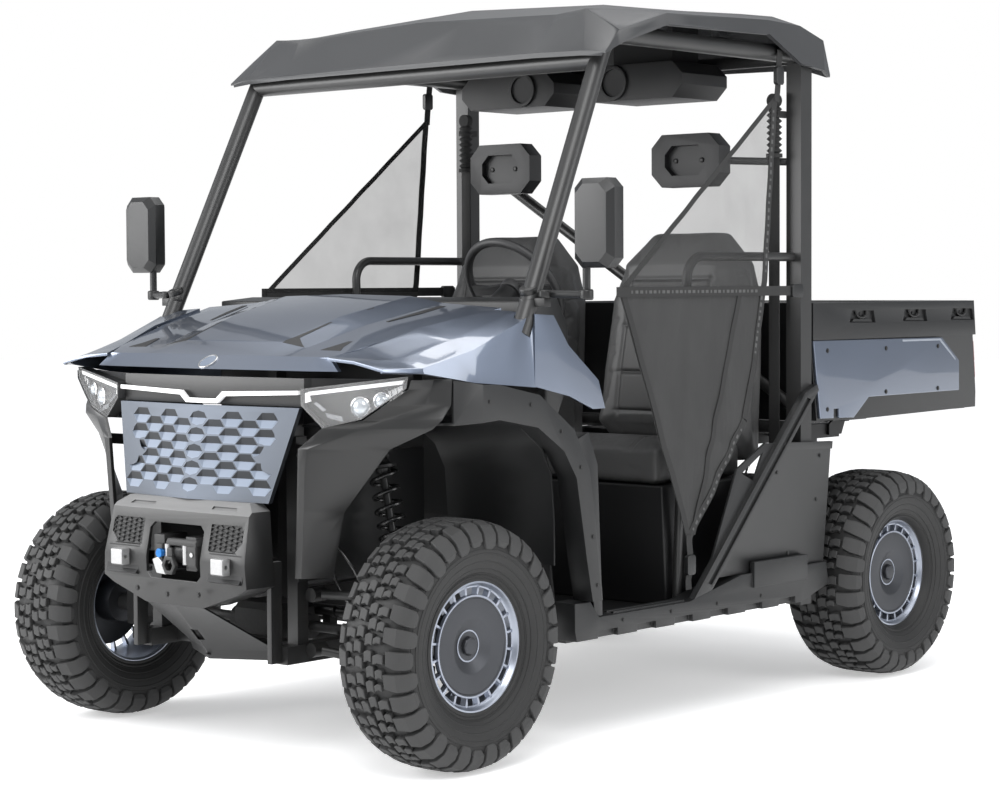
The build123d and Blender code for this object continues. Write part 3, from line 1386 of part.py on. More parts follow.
# outlines from the side, as distances behind the cab's rear and heights
PANEL_OUTLINE = [(-510, 418), (120, 418), (142, 612), (165, 803), (-204, 815), (-353, 742), (-470, 500)]
PANEL_WINDOW = [(-328, 728), (-214, 788), (-264, 700)]
PANEL_DIAGONAL = [(-590, 367), (-500, 386), (75, 972), (66, 990), (-1, 965)]
PANEL_GROOVE = [(-520, 408), (-502, 402), (30, 944), (10, 950)]
PANEL_LEDGE = [(-110, 789), (160, 779), (163, 803), (-110, 812)]


def behind_cab(outline):
    return [(CAB_REAR_Y + y, z) for y, z in outline]


def rear_side_panel():
    """The left panel behind the door opening, its window, and the diagonal over it."""
    inner_x = REAR_POST_X[1] + FIT_GAP
    plate = side_panel(behind_cab(PANEL_OUTLINE), inner_x, inner_x + 8)
    plate -= side_panel(behind_cab(PANEL_WINDOW), inner_x - 1, inner_x + 9)
    diagonal = side_panel(behind_cab(PANEL_DIAGONAL), inner_x, inner_x + 22)
    groove = side_panel(behind_cab(PANEL_GROOVE), inner_x + 14, inner_x + 23)
    ledge = side_panel(behind_cab(PANEL_LEDGE), inner_x, inner_x + 16)
    return plate + (diagonal - groove) + ledge


save("rear_side_panels", *pair(rear_side_panel()))

# ---------------------------------------------------------------- mirrors and nets
MIRROR = (945, -829, 1480)


def mirror_unit():
    x, y, z = MIRROR
    rows = [
        # distance behind the front face, and half sizes of the shell there
        (-32, 54, 106),
        (-14, 70, 122),
        (24, 70, 122),
        (32, 62, 114),
    ]
    head = skin([[(u, y + back, v) for u, v in octagon(x, z, half_x, half_z, 26)] for back, half_x, half_z in rows])
    head -= front_panel(octagon(x, z, 56, 108, 22), y + 28, y + 33)
    stalk = bar((x - 40, y, z - 115), (x - 40, y, z - 195), 22)
    arm = bar((x - 30, y, z - 195), (PILLAR_FOOT[0] - 6, -858, 1288), 22) - cage_side()
    arm = max(arm.solids(), key=lambda solid: solid.volume)
    return head + stalk + arm


save("mirrors", *pair(mirror_unit()))


NET_THICKNESS = 4
NET_STRAP_Y = (CAB_REAR_Y - 136, CAB_REAR_Y - 109)


def side_net():
    """The left door net with its straps, as one thin closed sheet."""
    outline = [
        (NET_STRAP_Y[0], ROOF_RAIL_Z + 10), (NET_STRAP_Y[0], ROOF_RAIL_Z - 132), (-487, 1296), (-155, 526),
        (CAB_REAR_Y - 297, 890), (CAB_REAR_Y - 244, 1075), (CAB_REAR_Y - 190, 1324),
        (NET_STRAP_Y[1], ROOF_RAIL_Z - 132), (NET_STRAP_Y[1], ROOF_RAIL_Z + 10),
    ]
    inner_x = CAGE_X + CAGE_TUBE / 2 + FIT_GAP
    return side_panel(outline, inner_x, inner_x + NET_THICKNESS)


save("side_nets", *pair(side_net()))

# ---------------------------------------------------------------- power unit
save("power_unit", block((-210, 210), ENGINE_Y, (FRAME_Z + 20, 650)))

# ---------------------------------------------------------------- cargo bed
BED_INNER = BED_HALF_WIDTH - 40
BED_SKIN = 12
BED_FLOOR_THICKNESS = 10
BED_UNDER_Z = BED_FLOOR_Z - BED_FLOOR_THICKNESS
BED_BEAM_FOOT_Z = BED_RAIL_Z + HALF_TUBE + RUNNING_GAP
BED_SIDE = [
    # the dark side behind the painted panel, in y and z
    (BED_FRONT_Y - 5, BED_TOP_Z), (BED_REAR_Y - 3, BED_TOP_Z), (BED_REAR_Y + 10, 1130), (BED_REAR_Y + 31, 927),
    (BED_REAR_Y + 29, 875), (BED_FRONT_Y + 237, 864), (BED_FRONT_Y + 32, 870), (BED_FRONT_Y - 5, 1130),
]
BED_RAIL_FOOT_Z = 1130
TAIL_LAMP_Z = (975, 1110)
BED_POCKET_Y = (BED_FRONT_Y + 285, BED_FRONT_Y + 610, BED_FRONT_Y + 920)
TAILGATE_HINGE_Y = BED_REAR_Y + 12
TAILGATE_HINGE_Z = BED_UNDER_Z + 4
TAILGATE_LUG_X = 500
BED_PANEL = [
    # the painted side panel, in y and z
    (BED_FRONT_Y, 1129), (BED_REAR_Y - 212, 1125), (BED_REAR_Y - 98, 1043), (BED_REAR_Y - 97, 938),
    (BED_FRONT_Y + 327, 936), (BED_FRONT_Y + 237, 872), (BED_FRONT_Y + 40, 876),
]


def bed_lug():
    """A lug under the bed's floor with a bore for the frame's pin."""
    x = FRAME_SIDE_X + 10 + RUNNING_GAP
    outline = [
        (BED_PIVOT_Y - 20, BED_UNDER_Z), (BED_PIVOT_Y - 20, BED_PIVOT_Z - 12), (BED_PIVOT_Y - 10, BED_PIVOT_Z - 20),
        (BED_PIVOT_Y + 10, BED_PIVOT_Z - 20), (BED_PIVOT_Y + 20, BED_PIVOT_Z - 12), (BED_PIVOT_Y + 20, BED_UNDER_Z),
    ]
    lug = side_panel(outline, x, x + 12)
    bore = bar((x - 1, BED_PIVOT_Y, BED_PIVOT_Z), (x + 13, BED_PIVOT_Y, BED_PIVOT_Z), BED_PIN + 2 * FIT_GAP)
    return lug - bore


def bed_tub():
    """The bed's floor, front wall, side walls and rails, open behind for the tailgate."""
    floor = block((-BED_INNER, BED_INNER), (BED_FRONT_Y, BED_REAR_Y), (BED_UNDER_Z, BED_FLOOR_Z))
    front = block((-BED_INNER, BED_INNER), (BED_FRONT_Y, BED_FRONT_Y + BED_WALL), (BED_UNDER_Z, BED_TOP_Z))
    whole = floor + front
    wall = block((BED_INNER - BED_WALL, BED_INNER + 1), (BED_FRONT_Y, BED_REAR_Y), (BED_UNDER_Z, BED_TOP_Z))
    side = side_panel(BED_SIDE, BED_INNER, BED_HALF_WIDTH - BED_SKIN)
    rail_outline = [
        (BED_FRONT_Y - 5, BED_RAIL_FOOT_Z), (BED_REAR_Y + 10, BED_RAIL_FOOT_Z),
        (BED_REAR_Y - 3, BED_TOP_Z), (BED_FRONT_Y - 5, BED_TOP_Z),
    ]
    rail = side_panel(rail_outline, BED_INNER, BED_HALF_WIDTH)
    for y in BED_POCKET_Y:
        pocket = side_panel([(y - 78, 1184), (y + 78, 1182), (y + 66, 1222), (y - 66, 1224)], BED_HALF_WIDTH - 14, BED_HALF_WIDTH + 1)
        rail -= pocket
    beam = block((FRAME_X - 23, FRAME_X + 23), (BED_FRONT_Y + 40, BED_REAR_Y - 20), (BED_BEAM_FOOT_Z, BED_UNDER_Z))
    for piece in (wall, side, rail, beam, bed_lug()):
        whole += piece
        whole += mirrored(piece)
    for side in (-1, 1):
        inner_x = side * TAILGATE_LUG_X
        lug = block(sorted((inner_x, inner_x + side * 10)), (BED_REAR_Y - 5, TAILGATE_HINGE_Y + 8), (TAILGATE_HINGE_Z - 9, BED_FLOOR_Z))
        pin = bar((inner_x, TAILGATE_HINGE_Y, TAILGATE_HINGE_Z), (inner_x + side * 30, TAILGATE_HINGE_Y, TAILGATE_HINGE_Z), 10)
        whole += lug + pin
    strut_plate = block((STRUT_X + 14, STRUT_X + 22), (STRUT_EYE_Y - 20, STRUT_EYE_Y + 20), (STRUT_EYE_Z - 16, BED_UNDER_Z))
    return whole + strut_plate


def bed_panel():
    """The left painted panel, with the notch in its lower edge."""
    panel = side_panel(BED_PANEL, BED_HALF_WIDTH - BED_SKIN, BED_HALF_WIDTH - 2)
    return panel - block((BED_HALF_WIDTH - BED_SKIN - 1, BED_HALF_WIDTH), (BED_FRONT_Y + 118, BED_FRONT_Y + 148), (860, 905))


def tail_lamp():
    """The left tail lamp, on the rear edge of the bed's side."""
    z_low, z_high = TAIL_LAMP_Z
    (y_high, _), (y_low, _) = BED_SIDE[2:4]
    drop = (BED_SIDE[2][1] - BED_SIDE[3][1]) / (y_low - y_high)
    foot_y = y_high + (BED_SIDE[2][1] - z_low) / drop + FIT_GAP
    head_y = y_high + (BED_SIDE[2][1] - z_high) / drop + FIT_GAP
    outline = [(foot_y, z_low), (foot_y + 9, z_low + 4), (head_y + 9, z_high - 4), (head_y, z_high)]
    return side_panel(outline, BED_INNER + 3, BED_HALF_WIDTH - BED_SKIN - 3)


TAILGATE_Y = (BED_REAR_Y + RUNNING_GAP, BED_REAR_Y + RUNNING_GAP + 25)
HANDLE_HALF = 90
HANDLE_Z = (1150, 1185)
HANDLE_DEPTH = 16


def tailgate():
    """The tailgate's plate, and two hinge knuckles under its foot."""
    plate = block((-BED_INNER + RUNNING_GAP, BED_INNER - RUNNING_GAP), TAILGATE_Y, (BED_FLOOR_Z + RUNNING_GAP, BED_TOP_Z))
    for side in (-1, 1):
        x = side * (TAILGATE_LUG_X + 14)
        lug = block(sorted((x, x + side * 12)), (TAILGATE_Y[0], TAILGATE_HINGE_Y + 9), (TAILGATE_HINGE_Z - 9, BED_FLOOR_Z + 8))
        bore = bar((x - side, TAILGATE_HINGE_Y, TAILGATE_HINGE_Z), (x + side * 13, TAILGATE_HINGE_Y, TAILGATE_HINGE_Z), 10 + 2 * FIT_GAP)
        plate += lug - bore
    handle = block((-HANDLE_HALF, HANDLE_HALF), (TAILGATE_Y[1], TAILGATE_Y[1] + HANDLE_DEPTH), HANDLE_Z)
    return plate + handle


STRUT_EYE_Y = BED_PIVOT_Y - 290
STRUT_EYE_Z = 830
STRUT_BODY_LENGTH = 290
STRUT_ROD_DIAMETER = 12


def strut():
    """The gas strut: a hollow body on the frame's pin, and the rod inside it."""
    foot = Vector(STRUT_X, STRUT_FOOT_Y, STRUT_FOOT_Z)
    eye = Vector(STRUT_X, STRUT_EYE_Y, STRUT_EYE_Z)
    along = (eye - foot).normalized()
    half_width = Vector(STRUT_EYE_WIDTH / 2, 0, 0)
    body = bar(tuple(foot), tuple(foot + along * STRUT_BODY_LENGTH), 28)
    body += bar(tuple(foot - half_width), tuple(foot + half_width), 28)
    body -= block((STRUT_X + STRUT_EYE_WIDTH / 2, STRUT_X + 20), (STRUT_FOOT_Y - 20, STRUT_FOOT_Y + 22), (STRUT_FOOT_Z - 20, STRUT_FOOT_Z + 20))
    body -= bar(tuple(foot - half_width * 2), tuple(foot + half_width * 2), STRUT_PIN + 2 * FIT_GAP)
    body -= bar(tuple(foot + along * 40), tuple(foot + along * 300), STRUT_ROD_DIAMETER + 2 * FIT_GAP)
    rod = bar(tuple(foot + along * 50), tuple(eye), STRUT_ROD_DIAMETER)
    rod += bar(tuple(eye - half_width), tuple(eye + half_width), 26)
    rod -= bar(tuple(eye - half_width * 2), tuple(eye + half_width * 2), 10)
    return body, rod


save("bed_tub", bed_tub())
save("bed_side_panels", *pair(bed_panel()))
save("tailgate", tailgate())
save("tail_lamps", *pair(tail_lamp()))
strut_body, strut_rod = strut()
save("strut_body", strut_body)
save("strut_rod", strut_rod)
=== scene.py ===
"""The finished looks of a side by side utility vehicle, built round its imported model."""
import math
from math import radians

import bmesh
import bpy
from mathutils import Matrix, Vector


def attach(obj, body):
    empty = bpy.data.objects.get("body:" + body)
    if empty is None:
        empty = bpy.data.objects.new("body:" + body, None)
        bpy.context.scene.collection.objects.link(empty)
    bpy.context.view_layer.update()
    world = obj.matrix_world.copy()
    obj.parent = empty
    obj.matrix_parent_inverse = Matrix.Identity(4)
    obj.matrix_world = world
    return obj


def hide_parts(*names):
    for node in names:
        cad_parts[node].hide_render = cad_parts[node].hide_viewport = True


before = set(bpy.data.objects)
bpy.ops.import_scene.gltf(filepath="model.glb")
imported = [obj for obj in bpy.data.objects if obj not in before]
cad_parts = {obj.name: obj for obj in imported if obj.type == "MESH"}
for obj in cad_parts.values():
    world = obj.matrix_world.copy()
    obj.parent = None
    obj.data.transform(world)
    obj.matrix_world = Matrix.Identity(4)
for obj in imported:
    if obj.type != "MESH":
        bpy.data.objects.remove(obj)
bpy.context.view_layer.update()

bl_info = {
    "name": "Side by Side Utility Vehicle",
    "version": (1, 0, 0),
    "blender": (4, 5, 0),
    "location": "3D View > Sidebar > Utility Vehicle",
    "description": "Dresses the packed vehicle: finishes, tread, lamps, seats, nets and studio",
    "category": "Object",
}


# ------------------------------------------------------------------ shader arithmetic
class Signal:
    """A number that varies over a surface, usable in Python arithmetic."""

    def __init__(self, finish, socket):
        self.finish = finish
        self.socket = socket

    def math(self, operation, *values):
        return self.finish.node("ShaderNodeMath", {"operation": operation}, dict(enumerate(values)))

    def __add__(self, other):
        return self.math("ADD", self, other)

    __radd__ = __add__

    def __sub__(self, other):
        return self.math("SUBTRACT", self, other)

    def __rsub__(self, other):
        return self.math("SUBTRACT", other, self)

    def __mul__(self, other):
        return self.math("MULTIPLY", self, other)

    __rmul__ = __mul__

    def __truediv__(self, other):
        return self.math("DIVIDE", self, other)

    def clamped(self):
        return self.math("MINIMUM", self.math("MAXIMUM", self, 0.0), 1.0)


class NodeWork:
    """A node tree under construction."""

    def __init__(self, tree):
        self.tree = tree

    def node(self, kind, settings=None, sockets=None, output=0):
        """Any node: its settings first, then what its sockets hold, and one output back."""
        node = self.tree.nodes.new(kind)
        for key, value in (settings or {}).items():
            if key == "stops":
                ramp = node.color_ramp
                while len(ramp.elements) < len(value):
                    ramp.elements.new(0.5)
                for element, (position, colour) in zip(ramp.elements, value):
                    element.position = position
                    element.color = colour
            else:
                setattr(node, key, value)
        for key, value in (sockets or {}).items():
            self.feed(node.inputs[key], value)
        return Signal(self, node.outputs[output])

    def feed(self, socket, value):
        if isinstance(value, Signal):
            self.tree.links.new(value.socket, socket)
        else:
            socket.default_value = value


class Finish(NodeWork):
    """One material under construction."""

    def __init__(self, name):
        self.material = bpy.data.materials.new(name)
        self.material.use_nodes = True
        super().__init__(self.material.node_tree)
        self.tree.nodes.clear()
        self.output = self.tree.nodes.new("ShaderNodeOutputMaterial")
        self.shader = self.tree.nodes.new("ShaderNodeBsdfPrincipled")
        self.tree.links.new(self.shader.outputs[0], self.output.inputs[0])

    def place(self):
        return self.node("ShaderNodeTexCoord", output="Object")

    def axes(self, vector=None):
        parts = self.node("ShaderNodeSeparateXYZ", None, {0: vector or self.place()})
        node = parts.socket.node
        return [Signal(self, node.outputs[index]) for index in range(3)]

    def noise(self, scale, detail=3.0, roughness=0.5, vector=None):
        sockets = {"Scale": scale, "Detail": detail, "Roughness": roughness, "Vector": vector or self.place()}
        return self.node("ShaderNodeTexNoise", None, sockets)

    def cells(self, scale, feature="F1", vector=None):
        sockets = {"Scale": scale, "Vector": vector or self.place()}
        return self.node("ShaderNodeTexVoronoi", {"feature": feature}, sockets)

    def mix(self, share, low, high):
        """A colour between two, by share."""
        sockets = {0: share, 6: low, 7: high}
        return self.node("ShaderNodeMix", {"data_type": "RGBA"}, sockets, output=2)

    def spread(self, signal, low, high):
        """A signal in 0 to 1 moved to low to high."""
        return signal * (high - low) + low

    def facing(self, index):
        """How far the surface faces along one axis."""
        parts = self.node("ShaderNodeSeparateXYZ", None, {0: self.node("ShaderNodeNewGeometry", output="Normal")})
        return Signal(self, parts.socket.node.outputs[index])

    def bump(self, height, strength, distance):
        sockets = {"Strength": strength, "Distance": distance, "Height": height}
        self.feed(self.shader.inputs["Normal"], self.node("ShaderNodeBump", None, sockets))

    def set(self, **sockets):
        for key, value in sockets.items():
            self.feed(self.shader.inputs[key.replace("_", " ")], value)


def grey(level):
    return (level, level, level, 1.0)


def chosen(name):
    """A colour picked on the panel."""
    return tuple(getattr(bpy.context.scene.utv_sizes, name))


def shade(colour, factor):
    return tuple(min(1.0, channel * factor) for channel in colour[:3]) + (1.0,)


FINISHES = {}


def finish(name):
    """Keeps each material maker's result under its name, made once."""

    def keep(maker):
        def get():
            if name not in FINISHES:
                made = Finish(name)
                maker(made)
                FINISHES[name] = made.material
            return FINISHES[name]

        return get

    return keep


def simple(name, mottle, dark, light, rough, metallic=0.0, coat=0.0, grain=None, bump=None):
    """A finish that varies with one mottle: its noise's scale and detail, two colours and a range of roughness."""

    @finish(name)
    def maker(f):
        broad = f.noise(*mottle)
        f.set(Base_Color=f.mix(broad, dark, light), Roughness=f.spread(broad, *rough))
        f.set(Metallic=metallic, Coat_Weight=coat)
        if bump:
            f.bump(f.noise(*grain) if grain else broad, *bump)

    return maker


def moulded(f, colour, rough, grain=900.0, depth=0.0004):
    """Grained moulded plastic with a faint unevenness and worn places."""
    broad = f.noise(3.0, 4.0)
    fine = f.noise(grain, 2.0)
    f.set(Base_Color=f.mix(broad, shade(colour, 0.82), shade(colour, 1.18)))
    f.set(Roughness=f.spread(broad * 0.6 + fine * 0.4, rough - 0.08, rough + 0.1))
    f.bump(fine, 0.35, depth)


@finish("slate metallic paint")
def paint(f):
    slate = chosen("paint_colour")
    flake = f.cells(2600.0)
    broad = f.noise(2.2, 2.0)
    f.set(Base_Color=f.mix(flake * 0.55 + broad * 0.35, shade(slate, 0.85), shade(slate, 1.25)))
    f.set(Metallic=0.75, Roughness=f.spread(broad, 0.27, 0.34))
    f.set(Coat_Weight=1.0)
    f.shader.inputs["Coat Roughness"].default_value = 0.04
    f.bump(f.noise(14.0, 1.0), 0.02, 0.002)


@finish("charcoal moulded plastic")
def charcoal(f):
    moulded(f, chosen("plastic_colour"), 0.40)


@finish("charcoal nose plastic")
def nose_charcoal(f):
    """Moulded charcoal whose upward faces are painted pale: a painted highlight of the light from above."""
    broad = f.noise(3.0, 4.0)
    fine = f.noise(900.0, 2.0)
    # Faces turned up are painted pale, a painted highlight where the light from above falls.
    painted_top_light = (f.facing(2) * 4.0 - 1.3).clamped()
    dark = f.mix(broad, grey(0.0075), grey(0.0110))
    pale = f.mix(broad, grey(0.150), grey(0.215))
    f.set(Base_Color=f.mix(painted_top_light, dark, pale))
    f.set(Roughness=f.spread(broad * 0.6 + fine * 0.4, 0.34, 0.48))
    f.bump(fine, 0.3, 0.0003)


@finish("roof moulded plastic")
def roof_plastic(f):
    moulded(f, chosen("roof_colour"), 0.46, 500.0, 0.0006)


@finish("dark liner plastic")
def liner(f):
    moulded(f, (0.0045, 0.0045, 0.005, 1.0), 0.5)


@finish("tyre rubber")
def rubber(f):
    broad = f.noise(9.0, 4.0)
    fine = f.noise(240.0, 3.0)
    f.set(Base_Color=f.mix(broad * 0.6 + fine * 0.4, grey(0.020), grey(0.042)))
    f.set(Roughness=f.spread(fine, 0.58, 0.80))
    f.bump(fine, 0.3, 0.0008)


@finish("dark casing rubber")
def casing_rubber(f):
    broad = f.noise(9.0, 4.0)
    fine = f.noise(240.0, 3.0)
    f.set(Base_Color=f.mix(broad * 0.6 + fine * 0.4, grey(0.0050), grey(0.0105)))
    f.set(Roughness=f.spread(fine, 0.50, 0.70))
    f.bump(fine, 0.2, 0.0005)


@finish("grey seat vinyl")
def vinyl(f):
    x, _, z = f.axes()
    across = x.math("ABSOLUTE", x) - 0.365
    within = (across.math("ABSOLUTE", across) * -400.0 + 64.0).clamped()
    under = ((z * -400.0) + 532.0).clamped()
    over = (z * 400.0 - 362.0).clamped()
    inset = within * under * over
    front = (f.facing(1) * -6.0 - 1.0).clamped()
    broad = f.noise(5.0, 3.0)
    leather = f.cells(420.0)
    plain = f.mix(broad, grey(0.060), grey(0.085))
    dark = f.mix(leather, grey(0.018), grey(0.030))
    f.set(Base_Color=f.mix(inset * front, plain, dark))
    f.set(Roughness=f.spread(leather, 0.40, 0.58))
    f.bump(leather, 0.3, 0.0005)


@finish("black padding")
def padding(f):
    moulded(f, (0.017, 0.017, 0.018, 1.0), 0.5, 700.0)


@finish("grille paint")
def grille_paint(f):
    slate = chosen("grille_colour")
    broad = f.noise(3.0, 2.0)
    plain = f.mix(broad, shade(slate, 0.85), shade(slate, 1.15))
    # Painted light by facing: faces turned down are painted dark, a painted shade, and faces turned up are painted
    # bright, a painted highlight.
    up = f.facing(2)
    shadowed = f.mix((up * -7.0 - 0.6).clamped(), plain, shade(slate, 0.16))
    f.set(Base_Color=f.mix((up * 6.0 - 0.9).clamped(), shadowed, shade(slate, 2.9)))
    f.set(Metallic=0.35, Roughness=f.spread(broad, 0.40, 0.52))
    f.bump(f.noise(900.0, 2.0), 0.06, 0.0002)


@finish("black webbing")
def webbing(f):
    weave = f.noise(900.0, 2.0)
    f.set(Base_Color=f.mix(weave, grey(0.01), grey(0.03)))
    f.set(Roughness=0.85)
    f.bump(weave, 0.5, 0.0006)


@finish("see-through net")
def net_mesh(f):
    _, y, z = f.axes()
    waves = [across.math("SINE", across * 2200.0) for across in (y, z)]
    along, cross = [wave.math("ABSOLUTE", wave) for wave in waves]
    weave = along.math("MAXIMUM", along, cross)
    broad = f.noise(7.0, 3.0)
    f.set(Base_Color=f.mix(broad, grey(0.020), grey(0.045)))
    f.set(Roughness=0.8, Alpha=f.spread(broad, 0.40, 0.56))
    f.bump(weave, 0.2, 0.0004)


@finish("dark net fabric")
def net_fabric(f):
    broad = f.noise(9.0, 4.0)
    fold_relief_and_shade = f.noise(5.0, 3.0, vector=f.node("ShaderNodeMapping", None, {0: f.place(), "Scale": (1.0, 2.6, 0.9)}))
    weave = f.noise(1400.0, 2.0)
    # The colour follows a random mottle and the folds: painted shade in the fold hollows and painted light on the fold
    # ridges.
    f.set(Base_Color=f.mix(broad * 0.5 + fold_relief_and_shade * 0.5, grey(0.012), grey(0.040)))
    f.set(Roughness=f.spread(broad, 0.6, 0.85), Alpha=f.spread(broad, 0.93, 0.99))
    f.bump(fold_relief_and_shade * 8.0 + weave * 0.3, 0.35, 0.004)


@finish("white lamp bar")
def lamp_bar(f):
    broad = f.noise(24.0, 2.0)
    f.set(Base_Color=f.mix(broad, grey(0.80), grey(0.90)), Roughness=f.spread(broad, 0.12, 0.22), Coat_Weight=0.8)
    f.shader.inputs["Emission Color"].default_value = (1.0, 1.0, 1.0, 1.0)
    f.shader.inputs["Emission Strength"].default_value = 0.25


@finish("clear lamp cover")
def lamp_cover(f):
    broad = f.noise(8.0, 2.0)
    f.set(Base_Color=f.mix(broad, grey(0.80), grey(0.92)), Roughness=f.spread(broad, 0.02, 0.05))
    f.set(Alpha=f.spread(broad, 0.06, 0.10), Coat_Weight=1.0)


@finish("projector lens")
def projector(f):
    broad = f.noise(60.0, 1.0)
    f.set(Base_Color=f.mix(broad, (0.30, 0.34, 0.38, 1.0), (0.62, 0.66, 0.70, 1.0)))
    f.set(Roughness=f.spread(broad, 0.03, 0.07), Coat_Weight=1.0, Metallic=0.4)


@finish("stitched thread")
def thread(f):
    fine = f.noise(900.0, 2.0)
    f.set(Base_Color=f.mix(fine, grey(0.055), grey(0.10)), Roughness=0.8)
    f.bump(fine, 0.4, 0.0003)


black_steel = simple("satin black steel", (6.0, 3.0), grey(0.011), grey(0.02), (0.34, 0.46), 0.2,
    grain=(700.0, 2.0), bump=(0.15, 0.0003))
cage_coat = simple("grey cage coat", (5.0, 3.0), grey(0.040), grey(0.058), (0.34, 0.44), 0.55, grain=(800.0, 2.0),
    bump=(0.12, 0.0003))
rim_metal = simple("dark rim metal", (8.0, 3.0), (0.05, 0.052, 0.058, 1.0), (0.07, 0.073, 0.08, 1.0), (0.36, 0.46),
    0.8, grain=(600.0, 2.0), bump=(0.08, 0.0002))
lamp_glass = simple("lamp glass", (30.0, 2.0), (0.5, 0.52, 0.55, 1.0), (0.75, 0.78, 0.8, 1.0), (0.08, 0.2), 0.7,
    coat=1.0)
red_lens = simple("red lamp lens", (60.0, 1.0), (0.16, 0.004, 0.004, 1.0), (0.32, 0.01, 0.008, 1.0), (0.1, 0.2),
    coat=1.0)
casting = simple("drive casting", (160.0, 4.0), grey(0.035), grey(0.07), (0.5, 0.7), 0.5, bump=(0.4, 0.0008))
chrome = simple("polished strut", (20.0, 2.0), grey(0.6), grey(0.75), (0.1, 0.2), 1.0)
rim_edge = simple("bright rim edge", (8.0, 3.0), (0.26, 0.28, 0.33, 1.0), (0.36, 0.39, 0.45, 1.0), (0.26, 0.36),
    0.85, grain=(500.0, 2.0), bump=(0.06, 0.0002))
bright_metal = simple("bright machined metal", (260.0, 3.0), grey(0.42), grey(0.58), (0.22, 0.38), 1.0,
    bump=(0.1, 0.0002))
tow_metal = simple("cast tow metal", (190.0, 4.0), grey(0.34), grey(0.50), (0.36, 0.52), 0.7, bump=(0.3, 0.0004))
coil_black = simple("black coil enamel", (12.0, 2.0), grey(0.010), grey(0.018), (0.22, 0.32), coat=0.4,
    grain=(420.0, 2.0), bump=(0.08, 0.0003))
gold_collar = simple("gold anodised collar", (300.0, 2.0), (0.50, 0.33, 0.12, 1.0), (0.66, 0.46, 0.20, 1.0),
    (0.25, 0.38), 0.9, bump=(0.08, 0.0002))
tan_reservoir = simple("tan reservoir", (120.0, 2.0), (0.44, 0.36, 0.26, 1.0), (0.55, 0.46, 0.34, 1.0), (0.35, 0.5),
    0.2, bump=(0.1, 0.0003))
mirror_glass = simple("mirror glass", (4.0, 1.0), grey(0.78), grey(0.82), (0.02, 0.05), 1.0)
lamp_chrome = simple("lamp chrome", (40.0, 2.0), grey(0.62), grey(0.80), (0.08, 0.2), 1.0)
lamp_housing = simple("lamp housing", (30.0, 2.0), grey(0.015), grey(0.035), (0.25, 0.4))
blue_pin = simple("blue anodised pin", (200.0, 2.0), (0.01, 0.10, 0.34, 1.0), (0.02, 0.20, 0.55, 1.0), (0.25, 0.4),
    0.5)
pale_strip = simple("pale side strip", (20.0, 3.0), (0.30, 0.33, 0.38, 1.0), (0.38, 0.41, 0.46, 1.0), (0.3, 0.42),
    0.5)

NODE_FINISHES = {
    "paint": (paint, ["hood", "front_fenders", "bed_side_panels"]),
    "nose": (nose_charcoal, ["nose_fascia", "bumper"]),
    "charcoal": (charcoal, ["front_arches", "side_sills", "rear_side_panels", "bed_tub",
                            "tailgate", "dash"]),
    "roof": (roof_plastic, ["roof"]),
    "liner": (liner, ["floor_tub", "seat_base", "driver_controls", "overhead_pods"]),
    "steel": (black_steel, ["frame_rails", "frame_crossmembers", "frame_posts", "suspension_brackets",
        "suspension_arms",
                            "shock_absorbers", "skid_plate", "winch", "steering_rack", "strut_body"]),
    "cage": (cage_coat, ["cage_side_tubes", "cage_rear_posts", "cage_cross_bars"]),
    "rubber": (rubber, ["tyre_fl", "tyre_fr", "tyre_rl", "tyre_rr"]),
    "rims": (rim_metal, ["rim_fl", "rim_fr", "rim_rl", "rim_rr"]),
    "vinyl": (vinyl, ["seat_cushions", "seat_backs"]),
    "padding": (padding, ["headrests", "mirrors", "steering_wheel"]),
    "grille": (grille_paint, ["grille_panel"]),
    "lamps": (lamp_glass, ["headlamps"]),
    "tail lamps": (red_lens, ["tail_lamps"]),
    "webbing": (webbing, ["belts", "side_nets"]),
    "casting": (casting, ["power_unit", "final_drives", "rear_uprights", "knuckle_left", "knuckle_right"]),
    "strut": (chrome, ["strut_rod"]),
}


